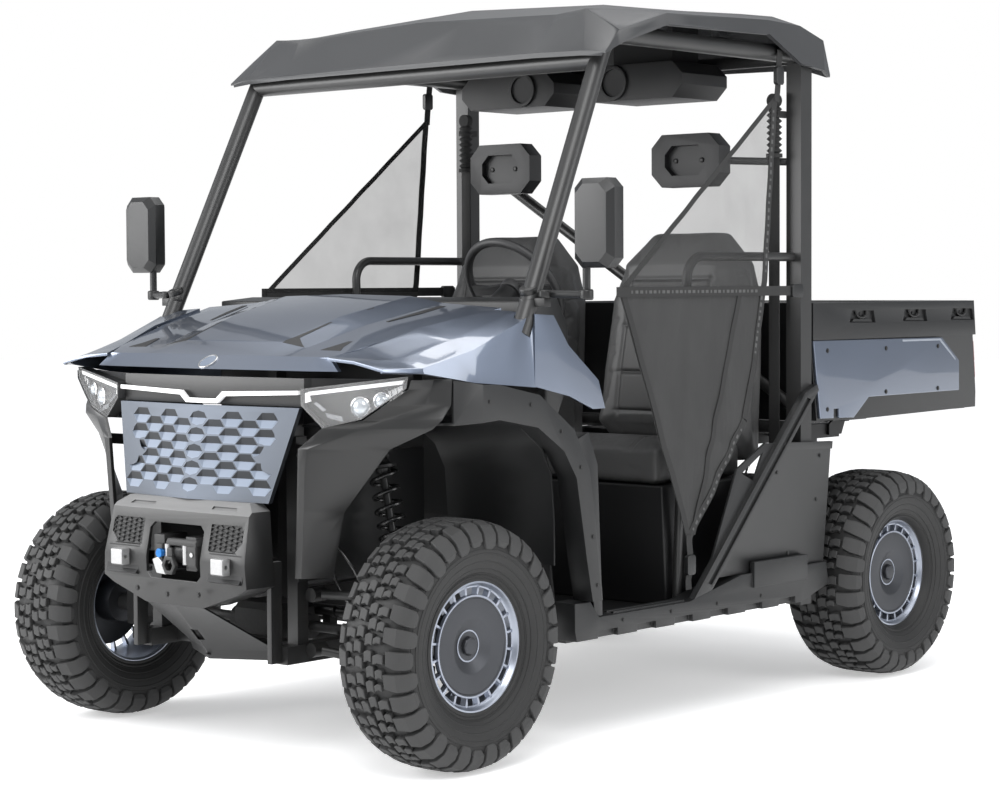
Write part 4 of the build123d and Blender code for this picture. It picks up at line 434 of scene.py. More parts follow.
# ------------------------------------------------------------------ mesh work
class Form:
    """A mesh under construction, in metres."""

    def __init__(self):
        self.bm = bmesh.new()

    def loft(self, *loops):
        """A closed body through loops that have the same number of corners."""
        rings = [[self.bm.verts.new(point) for point in loop] for loop in loops]
        self.bm.faces.new(rings[0][::-1])
        self.bm.faces.new(rings[-1])
        for first, second in zip(rings, rings[1:]):
            self.wall(first, second)
        return self

    def wall(self, first, second):
        count = len(first)
        for index in range(count):
            after = (index + 1) % count
            self.bm.faces.new((first[index], first[after], second[after], second[index]))

    def prism(self, outline, axis, low, high):
        """An outline in the two other axes, drawn out along one axis."""
        place = {
            "x": lambda u, v, w: (w, u, v),
            "y": lambda u, v, w: (u, w, v),
            "z": lambda u, v, w: (u, v, w),
        }[axis]
        return self.loft(*[[place(u, v, w) for u, v in outline] for w in (low, high)])

    def block(self, x, y, z):
        return self.prism([(x[0], y[0]), (x[1], y[0]), (x[1], y[1]), (x[0], y[1])], "z", *z)

    def turned(self, profile, start, along, sides=32, closed=True):
        """A body of revolution: its profile is in distance along and radius."""
        along = Vector(along).normalized()
        across = along.orthogonal().normalized()
        upward = along.cross(across)
        rings = []
        for distance, radius in profile:
            middle = Vector(start) + along * distance
            turns = [2 * math.pi * step / sides for step in range(sides)]
            points = [middle + (across * math.cos(turn) + upward * math.sin(turn)) * radius for turn in turns]
            rings.append([self.bm.verts.new(point) for point in points])
        for first, second in zip(rings, rings[1:]):
            self.wall(first, second)
        if closed:
            self.bm.faces.new(rings[0][::-1])
            self.bm.faces.new(rings[-1])
        else:
            self.wall(rings[-1], rings[0])
        return self

    def tube(self, points, radius, sides=10):
        """A round bar that follows points, closed at its ends."""
        points = [Vector(point) for point in points]
        rings = []
        side = None
        for index, point in enumerate(points):
            before = points[max(index - 1, 0)]
            after = points[min(index + 1, len(points) - 1)]
            along = (after - before).normalized()
            if side is None:
                side = along.orthogonal().normalized()
            side = (side - along * side.dot(along)).normalized()
            upward = along.cross(side)
            turns = [2 * math.pi * step / sides for step in range(sides)]
            rings.append([
                self.bm.verts.new(point + (side * math.cos(turn) + upward * math.sin(turn)) * radius) for turn in turns
            ])
        for first, second in zip(rings, rings[1:]):
            self.wall(first, second)
        self.bm.faces.new(rings[0][::-1])
        self.bm.faces.new(rings[-1])
        return self

    def rounded(self, width, segments=2, angle=28.0):
        """Rounds every edge sharper than the angle."""
        bmesh.ops.recalc_face_normals(self.bm, faces=self.bm.faces)
        sharp = [
            edge for edge in self.bm.edges
            if len(edge.link_faces) == 2 and edge.calc_face_angle(0.0) > radians(angle)
        ]
        bmesh.ops.bevel(
            self.bm, geom=sharp, offset=width, offset_type="OFFSET", segments=segments, profile=0.6,
            affect="EDGES", clamp_overlap=True)
        return self

    def both_sides(self):
        """Adds the mirror image on the vehicle's right."""
        copy = bmesh.ops.duplicate(self.bm, geom=self.bm.verts[:] + self.bm.edges[:] + self.bm.faces[:])["geom"]
        for item in copy:
            if isinstance(item, bmesh.types.BMVert):
                item.co.x = -item.co.x
        bmesh.ops.reverse_faces(self.bm, faces=[item for item in copy if isinstance(item, bmesh.types.BMFace)])
        return self

    def mesh(self, name, smooth=35.0):
        bmesh.ops.recalc_face_normals(self.bm, faces=self.bm.faces)
        mesh = bpy.data.meshes.new(name)
        self.bm.to_mesh(mesh)
        self.bm.free()
        mesh.shade_smooth()
        mesh.set_sharp_from_angle(angle=radians(smooth))
        return mesh


def add_piece(name, mesh, material, body="chassis"):
    """Puts a finished mesh in the scene, on its body."""
    piece = bpy.data.objects.new(name, mesh)
    bpy.context.scene.collection.objects.link(piece)
    mesh.materials.clear()
    mesh.materials.append(material)
    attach(piece, body)
    return piece


def merged_copy(node, flat=1.0):
    """A welded copy of a carried-over solid, its flat faces made whole."""
    form = Form()
    form.bm.from_mesh(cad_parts[node].data)
    bmesh.ops.remove_doubles(form.bm, verts=form.bm.verts, dist=0.00002)
    bmesh.ops.dissolve_limit(
        form.bm, angle_limit=radians(flat), verts=form.bm.verts, edges=form.bm.edges, delimit={"NORMAL"})
    return form


def softened(node, material, width, body="chassis", segments=2, angle=28.0):
    """The solid with its edges rounded as the moulded piece's are."""
    form = merged_copy(node)
    form.rounded(width, segments, angle)
    piece = add_piece(node + "_rounded", form.mesh(node + "_rounded"), material, body)
    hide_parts(node)
    return piece


class Recipe(NodeWork):
    """A geometry tree under construction, with named inputs."""

    def __init__(self, name, sizes):
        super().__init__(bpy.data.node_groups.new(name, "GeometryNodeTree"))
        face = self.tree.interface
        face.new_socket("Geometry", in_out="INPUT", socket_type="NodeSocketGeometry")
        for size, kind in sizes:
            face.new_socket(size, in_out="INPUT", socket_type=kind)
        face.new_socket("Geometry", in_out="OUTPUT", socket_type="NodeSocketGeometry")
        self.start = self.tree.nodes.new("NodeGroupInput")
        self.end = self.tree.nodes.new("NodeGroupOutput")

    def given(self, name):
        return Signal(self, self.start.outputs[name])

    def finished(self, geometry, material):
        real = self.node("GeometryNodeRealizeInstances", None, {0: geometry})
        coated = self.node("GeometryNodeSetMaterial", None, {"Geometry": real, "Material": material})
        self.feed(self.end.inputs[0], coated)
        return self

    def made(self, mesh, name, **sizes):
        """Runs the tree on a mesh and gives the plain mesh that results."""
        holder = bpy.data.objects.new(name, mesh)
        bpy.context.scene.collection.objects.link(holder)
        modifier = holder.modifiers.new("recipe", "NODES")
        modifier.node_group = self.tree
        for item in self.tree.interface.items_tree:
            if item.in_out == "INPUT" and item.name in sizes:
                modifier[item.identifier] = sizes[item.name]
        bpy.context.view_layer.update()
        graph = bpy.context.evaluated_depsgraph_get()
        result = bpy.data.meshes.new_from_object(holder.evaluated_get(graph))
        result.name = name
        bpy.data.objects.remove(holder)
        return result


def turned_copies(material):
    """Copies of the given geometry, turned evenly about the X axis."""
    tree = Recipe("turned copies", [("Count", "NodeSocketInt"), ("First turn", "NodeSocketFloat")])
    count = tree.given("Count")
    places = tree.node("GeometryNodeMeshLine", {"mode": "OFFSET"}, {"Count": count, "Offset": (0.0, 0.0, 0.0)})
    index = tree.node("GeometryNodeInputIndex")
    turn = index * (2 * math.pi) / count + tree.given("First turn")
    rotation = tree.node("ShaderNodeCombineXYZ", None, {"X": turn})
    copies = tree.node("GeometryNodeInstanceOnPoints", None, {
        "Points": places, "Instance": Signal(tree, tree.start.outputs["Geometry"]), "Rotation": rotation})
    return tree.finished(copies, material)


def bolt_heads(material):
    """A flanged six-sided head on each given point, square to its direction."""
    tree = Recipe("bolt heads", [("Radius", "NodeSocketFloat"), ("Height", "NodeSocketFloat")])
    radius = tree.given("Radius")
    height = tree.given("Height")
    head = tree.node("GeometryNodeMeshCylinder", None, {"Vertices": 6, "Radius": radius, "Depth": height})
    raised = tree.node("GeometryNodeTransform", None, {
        "Geometry": head, "Translation": tree.node("ShaderNodeCombineXYZ", None, {"Z": height * 0.5})})
    flange = tree.node("GeometryNodeMeshCylinder", None, {"Vertices": 20, "Radius": radius * 1.45,
        "Depth": height * 0.5})
    join = tree.tree.nodes.new("GeometryNodeJoinGeometry")
    tree.tree.links.new(raised.socket, join.inputs[0])
    tree.tree.links.new(flange.socket, join.inputs[0])
    facing = tree.node("GeometryNodeInputNamedAttribute", {"data_type": "FLOAT_VECTOR"}, {"Name": "facing"})
    rotation = tree.node("FunctionNodeAlignRotationToVector", {"axis": "Z"}, {"Vector": facing})
    heads = tree.node("GeometryNodeInstanceOnPoints", None, {
        "Points": Signal(tree, tree.start.outputs["Geometry"]), "Instance": Signal(tree, join.outputs[0]),
        "Rotation": rotation})
    return tree.finished(heads, material)


def bolts(name, rows, radius, height, material, body="chassis"):
    """Bolt heads from a table of places and directions."""
    mesh = bpy.data.meshes.new(name)
    mesh.from_pydata([place for place, _ in rows], [], [])
    facing = mesh.attributes.new("facing", "FLOAT_VECTOR", "POINT")
    for item, (_, direction) in zip(facing.data, rows):
        item.vector = direction
    result = bolt_heads(material).made(mesh, name, Radius=radius, Height=height)
    result.shade_smooth()
    result.set_sharp_from_angle(angle=radians(35))
    return add_piece(name, result, material, body)


def moved(mesh, offset, turn_z=0.0):
    """Puts a mesh made on the origin in its place."""
    mesh.transform(Matrix.Translation(Vector(offset)) @ Matrix.Rotation(turn_z, 4, "Z"))
    return mesh


# ------------------------------------------------------------------ wheels
PITCHES = 17
WHEELS = [
    # node ending, body, middle x and y, width, half turn about Z
    ("fl", "wheel_fl", 0.695, -1.155, 0.235, 0.0),
    ("fr", "wheel_fr", -0.695, -1.155, 0.235, math.pi),
    ("rl", "wheel_rl", 0.675, 0.965, 0.270, 0.0),
    ("rr", "wheel_rr", -0.675, 0.965, 0.270, math.pi),
]
AXLE_HEIGHT = 0.343
TREAD_DEPTH = 0.015


def casing_line(width):
    """Half the casing under the tread, from the crown's middle out to the bead, in x and radius."""
    half = width / 2
    root = AXLE_HEIGHT - TREAD_DEPTH - 0.001
    return [
        (0.0, root), (half * 0.45, root - 0.001), (half * 0.72, root - 0.006), (half - 0.014, root - 0.020),
        (half - 0.006, root - 0.040), (half - 0.002, root - 0.060), (half - 0.001, 0.262), (half - 0.004, 0.240),
        (half - 0.011, 0.218), (half - 0.020, 0.202), (half - 0.024, 0.196), (half - 0.023, 0.191),
        (half - 0.028, 0.186), (0.091, 0.1795),
    ]


class Tread:
    """Places things on a casing by distance from the crown's middle, and height over it."""

    def __init__(self, width):
        self.line = [Vector(point) for point in casing_line(width)]
        self.reach = [0.0]
        for first, second in zip(self.line, self.line[1:]):
            self.reach.append(self.reach[-1] + (second - first).length)

    def at(self, distance, height):
        """x and radius at a distance to either side, raised square to the casing."""
        side = -1.0 if distance < 0 else 1.0
        run = min(abs(distance), self.reach[-1] - 1e-6)
        index = max(k for k, reach in enumerate(self.reach) if reach <= run)
        first, second = self.line[index], self.line[index + 1]
        share = (run - self.reach[index]) / (self.reach[index + 1] - self.reach[index])
        point = first.lerp(second, share)
        normals = []
        for k in (max(index - 1, 0), index, min(index + 1, len(self.line) - 2)):
            step = (self.line[k + 1] - self.line[k]).normalized()
            normals.append(Vector((-step.y, step.x)))
        normal = normals[1].lerp(normals[2] if share > 0.5 else normals[0], abs(share - 0.5)).normalized()
        if normal.y < 0 and abs(normal.y) > 0.9:
            normal = -normal
        if index == 0 and share < 0.2:
            normal = Vector((0.0, 1.0))
        out = point + normal * height
        return out.x * side, min(out.y, AXLE_HEIGHT)

    def lug(self, form, rows, base=-0.003):
        """A lug through rows of distance, first turn, last turn and height; turns in pitches."""
        loops = []
        for distance, first, last, height in rows:
            loop = []
            for turn, rise in ((first, base), (first, height), (last, height), (last, base)):
                x, radius = self.at(distance, rise)
                spread = 0.0 if rise == base else (0.010 if turn == first else -0.010)
                angle = (turn + spread) * 2 * math.pi / PITCHES
                loop.append((x, radius * math.sin(angle), radius * math.cos(angle)))
            loops.append(loop)
        form.loft(*loops)


def tread_pitch(width):
    """One pitch of the tread: shoulder lugs, wrapped blocks and cut centre blocks, on both sides."""
    tread = Tread(width)
    form = Form()
    half = width / 2
    crest = TREAD_DEPTH
    for side, shift in ((1, 0.0), (-1, 0.5)):
        edge = half * side
        for start, stop, foot, inner in ((0.03, 0.46, 0.036, 0.54), (0.53, 0.96, 0.027, 0.62)):
            lead = 0.06 if side > 0 else -0.06
            tread.lug(form, [
                (edge * inner, start + shift + 0.05 + lead, stop + shift - 0.05 + lead, crest),
                (edge * 0.80, start + shift + lead * 0.4, stop + shift - 0.02 + lead * 0.4, crest),
                (edge * 0.98, start + shift, stop + shift, crest - 0.001),
                (edge * 1.00 + 0.014 * side, start + shift, stop + shift, crest - 0.004),
                (edge * 1.00 + (foot - 0.010) * side, start + shift + 0.02, stop + shift - 0.02, 0.009),
                (edge * 1.00 + foot * side, start + shift + 0.08, stop + shift - 0.08, 0.004),
            ])
        blocks = [
            # start and stop along the turn, inner and outer distance as shares of the half width
            (0.02, 0.30, 0.03, 0.25), (0.06, 0.24, 0.27, 0.48), (0.35, 0.62, 0.08, 0.30),
            (0.33, 0.56, 0.33, 0.53), (0.67, 0.94, 0.02, 0.24), (0.64, 0.88, 0.28, 0.56),
        ]
        for start, stop, inner, outer in blocks:
            slant = 0.05
            middle = (inner + outer) / 2
            tread.lug(form, [
                (edge * inner, start + shift, stop + shift - 0.03, crest),
                (edge * middle, start + shift + slant, stop + shift + slant * 0.4, crest),
                (edge * outer, start + shift + slant * 0.4, stop + shift, crest - 0.0005),
            ])
    form.rounded(0.0016, 1, 40.0)
    return form.mesh("tread pitch", 30.0)


def casing(width):
    """The tyre's casing, with fine rings moulded in the sidewall."""
    rings = casing_line(width)
    detailed = []
    for (x0, r0), (x1, r1) in zip(rings, rings[1:]):
        detailed.append((x0, r0))
        if 0.19 < r1 < 0.27:
            run = Vector((x1 - x0, r1 - r0))
            across = Vector((-run.y, run.x)).normalized()
            for share, rise in ((0.30, 0.0), (0.36, 0.0012), (0.46, 0.0012), (0.52, 0.0)):
                point = Vector((x0, r0)) + run * share + across * rise
                detailed.append((point.x, point.y))
    detailed.append(rings[-1])
    inside = [(0.089, 0.1765), (0.075, 0.20), (0.088, 0.27), (0.06, 0.305), (0.0, 0.31)]
    half = detailed + inside
    whole = half + [(-x, radius) for x, radius in half[-2:0:-1]]
    form = Form()
    return form.turned(whole, (0, 0, 0), (1, 0, 0), sides=102, closed=False).mesh("casing", 40.0)


class UTV_OT_tyres(bpy.types.Operator):
    """Makes the four tyres: casing, wrapped shoulder lugs and cut centre blocks"""

    bl_idname = "utv.tyres"
    bl_label = "Tyres"

    def execute(self, context):
        sizes = context.scene.utv_sizes
        recipe = turned_copies(rubber())
        for ending, body, x, y, width, turn in WHEELS:
            tread = recipe.made(tread_pitch(width), "tread", Count=sizes.pitches)
            form = Form()
            form.bm.from_mesh(tread)
            lugs = len(form.bm.faces)
            form.bm.from_mesh(casing(width))
            mesh = moved(form.mesh("tyre " + ending, 30.0), (x, y, AXLE_HEIGHT), turn)
            piece = add_piece("tyre_" + ending + "_tread", mesh, rubber(), body)
            piece.data.materials.append(casing_rubber())
            for face in piece.data.polygons[lugs:]:
                face.material_index = 1
            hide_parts("tyre_" + ending)
        return {"FINISHED"}


RIM_LINE = [
    # the outer face from the bead inward to the dish, in x and radius
    (-0.089, 0.1775), (-0.083, 0.1775), (-0.080, 0.168), (0.080, 0.168), (0.083, 0.1775), (0.089, 0.1775),
        (0.0895, 0.172),
    (0.084, 0.1685), (0.0795, 0.1665), (0.0765, 0.164),
]
DISC_LINE = [
    (0.0715, 0.1385), (0.0760, 0.1365), (0.0790, 0.134), (0.0790, 0.1315), (0.0765, 0.1285), (0.0765, 0.078),
    (0.0755, 0.0725), (0.0600, 0.044), (0.0585, 0.036),
]


def rim_rib():
    """One thin rib between two openings, with a raised light edge."""
    form = Form()
    half = 0.0030
    outline = [(0.0765, 0.1665), (0.0775, 0.1640), (0.0755, 0.1390), (0.0745, 0.1340), (0.056, 0.1340),
        (0.056, 0.1665)]
    loops = []
    for offset in (-half, half):
        loops.append([(x, offset * (1.0 if radius < 0.15 else 1.5), radius) for x, radius in outline])
    form.loft(*loops)
    form.rounded(0.0008, 1, 40.0)
    return form.mesh("rim rib")


class UTV_OT_rims(bpy.types.Operator):
    """Makes the four rims: barrel, slotted ring, disc, dish and cap"""

    bl_idname = "utv.rims"
    bl_label = "Rims"

    def execute(self, context):
        ribs = turned_copies(rim_edge())
        for ending, body, x, y, _, turn in WHEELS:
            place = (x, y, AXLE_HEIGHT)
            form = Form()
            back = [(0.0755, 0.160), (0.0715, 0.1605), (0.060, 0.163), (0.0, 0.1645), (-0.085, 0.1700),
                (-0.089, 0.1735)]
            ring = Form()
            ring.turned(RIM_LINE + back, (0, 0, 0), (1, 0, 0), 120, closed=False)
            ring.turned([(0.0700, 0.1400), (0.0792, 0.1396), (0.0800, 0.1385), (0.0800, 0.1352), (0.0792, 0.1340),
                (0.0700, 0.1335)], (0, 0, 0), (1, 0, 0), 120, closed=False)
            ring.bm.from_mesh(ribs.made(rim_rib(), "ribs", Count=20, **{"First turn": math.pi / 20}))
            disc_back = [(0.0585, 0.002), (0.0530, 0.002), (0.0530, 0.040), (0.0640, 0.072), (0.0640, 0.1385)]
            form.turned(DISC_LINE + disc_back, (0, 0, 0), (1, 0, 0), 120, closed=False)
            form.turned([(0.030, 0.048), (0.0600, 0.052), (0.0600, 0.030)], (0, 0, 0), (1, 0, 0), 40)
            form.turned([(-0.016, 0.060), (0.045, 0.064), (0.058, 0.050)], (0, 0, 0), (1, 0, 0), 48)
            mesh = moved(form.mesh("rim " + ending, 30.0), place, turn)
            piece = add_piece("rim_" + ending + "_face", mesh, rim_metal(), body)
            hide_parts("rim_" + ending)
            add_piece("rim_" + ending + "_slotted_ring", moved(ring.mesh("slotted ring", 30.0), place, turn),
                rim_edge(), body)
            cap = Form()
            cap.turned([(0.0586, 0.027), (0.0700, 0.0255), (0.0735, 0.0225)], (0, 0, 0), (1, 0, 0), 8)
            cap.rounded(0.0012, 2)
            add_piece("rim_" + ending + "_cap", moved(cap.mesh("cap"), place, turn), rim_metal(), body)
            dish = Form()
            dish.turned([(0.0580, 0.0440), (0.0612, 0.0437), (0.0612, 0.0400), (0.0580, 0.0395)],
                        (0, 0, 0), (1, 0, 0), 64, closed=False)
            add_piece("rim_" + ending + "_dish_ring", moved(dish.mesh("dish ring"), place, turn), rim_edge(), body)
        return {"FINISHED"}


# ------------------------------------------------------------------ shocks
SHOCK_ROWS = [
    # side-independent: y, top x and z, foot x and z
    (-1.093, 0.369, 0.845, 0.487, 0.301),
    (0.903, 0.369, 0.785, 0.440, 0.300),
]
COIL_RADIUS = 0.0365
COIL_WIRE = 0.0064


def damper_line(length):
    """The damper from foot to head, as distance along and radius."""
    return [
        (0.006, 0.0125), (0.016, 0.0150), (0.026, 0.0150), (0.028, 0.0215), (0.060, 0.0220), (0.062, 0.0205),
        (0.066, 0.0205), (0.068, 0.0220), (0.094, 0.0220), (0.096, 0.0300), (0.102, 0.0400), (0.108, 0.0400),
        (0.108, 0.0225), (length * 0.55, 0.0225), (length * 0.55, 0.0110), (length - 0.060, 0.0110),
        (length - 0.060, 0.0180), (length - 0.048, 0.0200), (length - 0.046, 0.0400), (length - 0.038, 0.0405),
        (length - 0.034, 0.0260), (length - 0.020, 0.0180), (length - 0.006, 0.0160),
    ]


def coil_points(first, last, turns):
    points = []
    steps = int(turns * 22)
    for step in range(steps + 1):
        share = step / steps
        eased = share + 0.018 * math.sin(2 * math.pi * share)
        turn = share * turns * 2 * math.pi
        points.append((COIL_RADIUS * math.cos(turn), COIL_RADIUS * math.sin(turn), first + (last - first) * eased))
    return points


class UTV_OT_shocks(bpy.types.Operator):
    """Makes the four coil-over shocks: damper, wound spring, collar and reservoir"""

    bl_idname = "utv.shocks"
    bl_label = "Shocks"

    def execute(self, context):
        dampers, coils, collars, tanks, fittings = Form(), Form(), Form(), Form(), Form()
        for y, top_x, top_z, low_x, low_z in SHOCK_ROWS:
            top = Vector((top_x, y, top_z))
            low = Vector((low_x, y, low_z))
            along = (top - low).normalized()
            length = (top - low).length
            frame_of = Matrix.Translation(low) @ along.to_track_quat("Z", "Y").to_matrix().to_4x4()
            dampers.turned(damper_line(length), low, along, 28)
            for middle in (low + along * 0.006, top - along * 0.006):
                dampers.turned([(-0.022, 0.014), (-0.020, 0.0165), (0.020, 0.0165), (0.022, 0.014)], middle,
                    (0, 1, 0), 20)
                fittings.turned([(-0.026, 0.007), (0.026, 0.007)], middle, (0, 1, 0), 6)
            path = [frame_of @ Vector(point) for point in coil_points(0.118, length - 0.053, 9.5)]
            coils.tube(path, COIL_WIRE, 9)
            collars.turned([(0.108, 0.0235), (0.108, 0.0345), (0.113, 0.0350), (0.114, 0.0315), (0.117, 0.0315),
                            (0.118, 0.0350), (0.124, 0.0350), (0.124, 0.0235)], low, along, 24, closed=False)
            beside = low + along * 0.055 + Vector((0.012, -0.052 if y < 0 else 0.052, 0.004))
            tanks.turned([(0.0, 0.0150), (0.003, 0.0180), (0.105, 0.0180), (0.108, 0.0150)], beside, along, 24)
            fittings.turned([(0.108, 0.0155), (0.118, 0.0155), (0.122, 0.0110)], beside, along, 18)
            fittings.turned([(-0.010, 0.0130), (0.0, 0.0160)], beside, along, 18)
            fittings.tube([beside - along * 0.006, low + along * 0.046], 0.0085, 10)
        for form in (dampers, coils, collars, tanks, fittings):
            form.both_sides()
        piece = add_piece("shock_dampers", dampers.mesh("shock dampers", 40.0), black_steel())
        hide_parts("shock_absorbers")
        add_piece("shock_springs", coils.mesh("shock springs", 60.0), coil_black())
        add_piece("shock_collars", collars.mesh("shock collars"), gold_collar())
        add_piece("shock_reservoirs", tanks.mesh("shock reservoirs"), tan_reservoir())
        add_piece("shock_fittings", fittings.mesh("shock fittings"), bright_metal())
        return {"FINISHED"}


# ------------------------------------------------------------------ door nets
NET_CORNERS = [
    # the left net's edge from its top rear corner forward and round, in y and z
    (0.304, 1.903), (-0.487, 1.296), (-0.155, 0.526), (0.143, 0.890), (0.196, 1.075), (0.250, 1.324),
]
NET_X = 0.7412
NET_SEAM_Z = 1.290
NET_START = (-0.50, 0.52)
NET_CUT = (0.82, 1.39)
WEBBING_THICK = 0.0022


def net_outer(y, z):
    """How far the net stands from its plane: taut above, folded below."""
    folds = 0.0022 * math.sin(y * 31.0 + z * 17.0) * math.cos(z * 23.0 - y * 12.0)
    low = max(0.0, (NET_SEAM_Z - z) / 0.75)
    creases = 0.0045 * low * math.sin((y * 0.8 + z * 0.55) * 46.0 + 1.7 * math.sin(z * 15.0))
    return NET_X + 0.0015 + folds * 0.6 + creases


def net_sheet(side):
    """The net's cloth, cut from a fine grid along its edges."""
    bm = bmesh.new()
    bmesh.ops.create_grid(bm, x_segments=66, y_segments=112, size=0.5)
    for vert in bm.verts:
        y = NET_START[0] + (vert.co.x + 0.5) * NET_CUT[0]
        z = NET_START[1] + (vert.co.y + 0.5) * NET_CUT[1]
        vert.co = (0.0, y, z)
    middle = Vector((0.0, 0.0, 1.2))
    cuts = list(zip(NET_CORNERS, NET_CORNERS[1:] + NET_CORNERS[:1])) + [((-1.0, NET_SEAM_Z), (1.0, NET_SEAM_Z))]
    for index, ((y0, z0), (y1, z1)) in enumerate(cuts):
        normal = Vector((0.0, z1 - z0, y0 - y1)).normalized()
        if normal.dot(middle - Vector((0.0, y0, z0))) > 0:
            normal = -normal
        everything = bm.verts[:] + bm.edges[:] + bm.faces[:]
        bmesh.ops.bisect_plane(
            bm, geom=everything, dist=0.00001, plane_co=(0.0, y0, z0), plane_no=normal,
            clear_outer=index < len(NET_CORNERS))
    for vert in bm.verts:
        vert.co.x = net_outer(vert.co.y, vert.co.z) * side
    for face in bm.faces:
        if face.normal.x * side < 0:
            face.normal_flip()
    mesh = bpy.data.meshes.new("net")
    bm.to_mesh(mesh)
    bm.free()
    mesh.shade_smooth()
    return mesh


def webbing_run(form, points, width, lift, side, step=0.03):
    """A flat strap that follows points in y and z on the net's outer face."""
    rows = []
    for (y0, z0), (y1, z1) in zip(points, points[1:]):
        run = math.hypot(y1 - y0, z1 - z0)
        count = max(1, round(run / step))
        across = ((z0 - z1) / run, (y1 - y0) / run)
        for index in range(count + 1):
            share = index / count
            rows.append((y0 + (y1 - y0) * share, z0 + (z1 - z0) * share, across))
    loops = []
    for y, z, (ay, az) in rows:
        x = net_outer(y, z) + lift
        half = width / 2
        loops.append([
            (side * x, y - ay * half, z - az * half), (side * (x + WEBBING_THICK), y - ay * half, z - az * half),
            (side * (x + WEBBING_THICK), y + ay * half, z + az * half), (side * x, y + ay * half, z + az * half),
        ])
    form.loft(*loops)


NET_HEM = [(0.292, 1.885), (-0.470, 1.297), (-0.152, 0.548), (0.132, 0.893), (0.184, 1.077), (0.238, 1.322)]
NET_STRAPS = [
    # points in y and z, width, lift from the cloth
    (NET_HEM[0:2], 0.016, 0.0006),
    (NET_HEM[1:3], 0.022, 0.0006),
    (NET_HEM[2:] + NET_HEM[:1], 0.026, 0.0008),
    ([(-0.500, NET_SEAM_Z), (0.440, NET_SEAM_Z)], 0.030, 0.0034),
    ([(0.110, NET_SEAM_Z), (-0.128, 0.560)], 0.020, 0.0014),
    ([(0.318, 2.040), (0.300, 1.880)], 0.027, 0.0034),
    ([(-0.155, 0.560), (-0.155, 0.395)], 0.027, 0.0034),
]
NET_SEAMS = [
    # first and last point in y and z, number of stitches
    ((-0.44, NET_SEAM_Z), (0.20, NET_SEAM_Z), 30),
    ((0.228, 1.300), (0.184, 1.090), 10),
    ((0.286, 1.860), (0.242, 1.340), 22),
    ((0.118, 0.872), (-0.136, 0.566), 16),
]
NET_BUCKLES = [
    # y, z, half the length and half the height
    (0.405, NET_SEAM_Z, 0.030, 0.021),
    (-0.155, 0.470, 0.020, 0.030),
    (0.308, 1.960, 0.020, 0.028),
]
STITCH_HALF_WIDTH = 0.0045
STITCH_THICK = 0.0006
BUCKLE_CORNER = 0.006


def stitches(form, side, first, last, count):
    """A row of stitches from one point in y and z to another, every third one short."""
    for index in range(count):
        share = (index + 0.5) / count
        y = first[0] + (last[0] - first[0]) * share
        z = first[1] + (last[1] - first[1]) * share
        lift = 0.0057 if first[1] == last[1] else 0.0031
        length = 0.0065 if index % 3 else 0.0035
        x = net_outer(y, z) + lift
        run = math.hypot(last[0] - first[0], last[1] - first[1])
        along = ((last[0] - first[0]) / run * length, (last[1] - first[1]) / run * length)
        across = (-along[1] / length * STITCH_HALF_WIDTH, along[0] / length * STITCH_HALF_WIDTH)
        form.loft(*[[
            (side * w, y - along[0] - across[0], z - along[1] - across[1]),
            (side * w, y + along[0] - across[0], z + along[1] - across[1]),
            (side * w, y + along[0] + across[0], z + along[1] + across[1]),
            (side * w, y - along[0] + across[0], z - along[1] + across[1]),
        ] for w in (x, x + STITCH_THICK)])


def buckle(form, side, y, z, half_y, half_z):
    """A buckle on the net's outer face, with cut corners."""
    form.prism([
        (y - half_y, z - half_z + BUCKLE_CORNER), (y - half_y + BUCKLE_CORNER, z - half_z),
        (y + half_y - BUCKLE_CORNER, z - half_z), (y + half_y, z - half_z + BUCKLE_CORNER),
        (y + half_y, z + half_z - BUCKLE_CORNER), (y + half_y - BUCKLE_CORNER, z + half_z),
        (y - half_y + BUCKLE_CORNER, z + half_z), (y - half_y, z + half_z - BUCKLE_CORNER),
    ], "x", side * (NET_X + 0.002), side * (NET_X + 0.016))


class UTV_OT_nets(bpy.types.Operator):
    """Makes the two door nets: see-through cloth above, dark cloth below, webbing and buckles"""

    bl_idname = "utv.nets"
    bl_label = "Door nets"

    def execute(self, context):
        corners = NET_CORNERS
        area = 0.0
        for (y0, z0), (y1, z1) in zip(corners, corners[1:] + corners[:1]):
            area += (y0 * z1 - y1 * z0) / 2
        area = abs(area)
        for side, word in ((1, "left"), (-1, "right")):
            straps, marks, buckles = Form(), Form(), Form()
            for points, width, lift in NET_STRAPS:
                webbing_run(straps, points, width, lift, side)
            for first, last, count in NET_SEAMS:
                stitches(marks, side, first, last, count)
            for y, z, half_y, half_z in NET_BUCKLES:
                buckle(buckles, side, y, z, half_y, half_z)
            buckles.rounded(0.002, 2)
            band = add_piece("net_webbing_" + word, straps.mesh("net webbing", 60.0), webbing())
            flecks = add_piece("net_stitching_" + word, marks.mesh("net stitching"), thread())
            clips = add_piece("net_buckles_" + word, buckles.mesh("net buckles"), charcoal())
            mesh = net_sheet(side)
            net = add_piece("net_" + word, mesh, net_mesh())
            mesh.materials.append(net_fabric())
            for face in mesh.polygons:
                face.material_index = 1 if face.center.z < NET_SEAM_Z else 0
            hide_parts("side_nets")
        return {"FINISHED"}


# ------------------------------------------------------------------ hood, fenders and nose
HOOD_ROWS = [
    # y, middle z, then x and z of the bulge, the valley and the seam
    (-1.373, 1.121, (0.201, 1.121), (0.300, 1.121), (0.455, 1.120)),
    (-1.303, 1.160, (0.201, 1.158), (0.300, 1.143), (0.491, 1.140)),
    (-1.100, 1.232, (0.225, 1.226), (0.330, 1.203), (0.545, 1.196)),
    (-0.850, 1.288, (0.260, 1.282), (0.390, 1.262), (0.612, 1.248)),
]


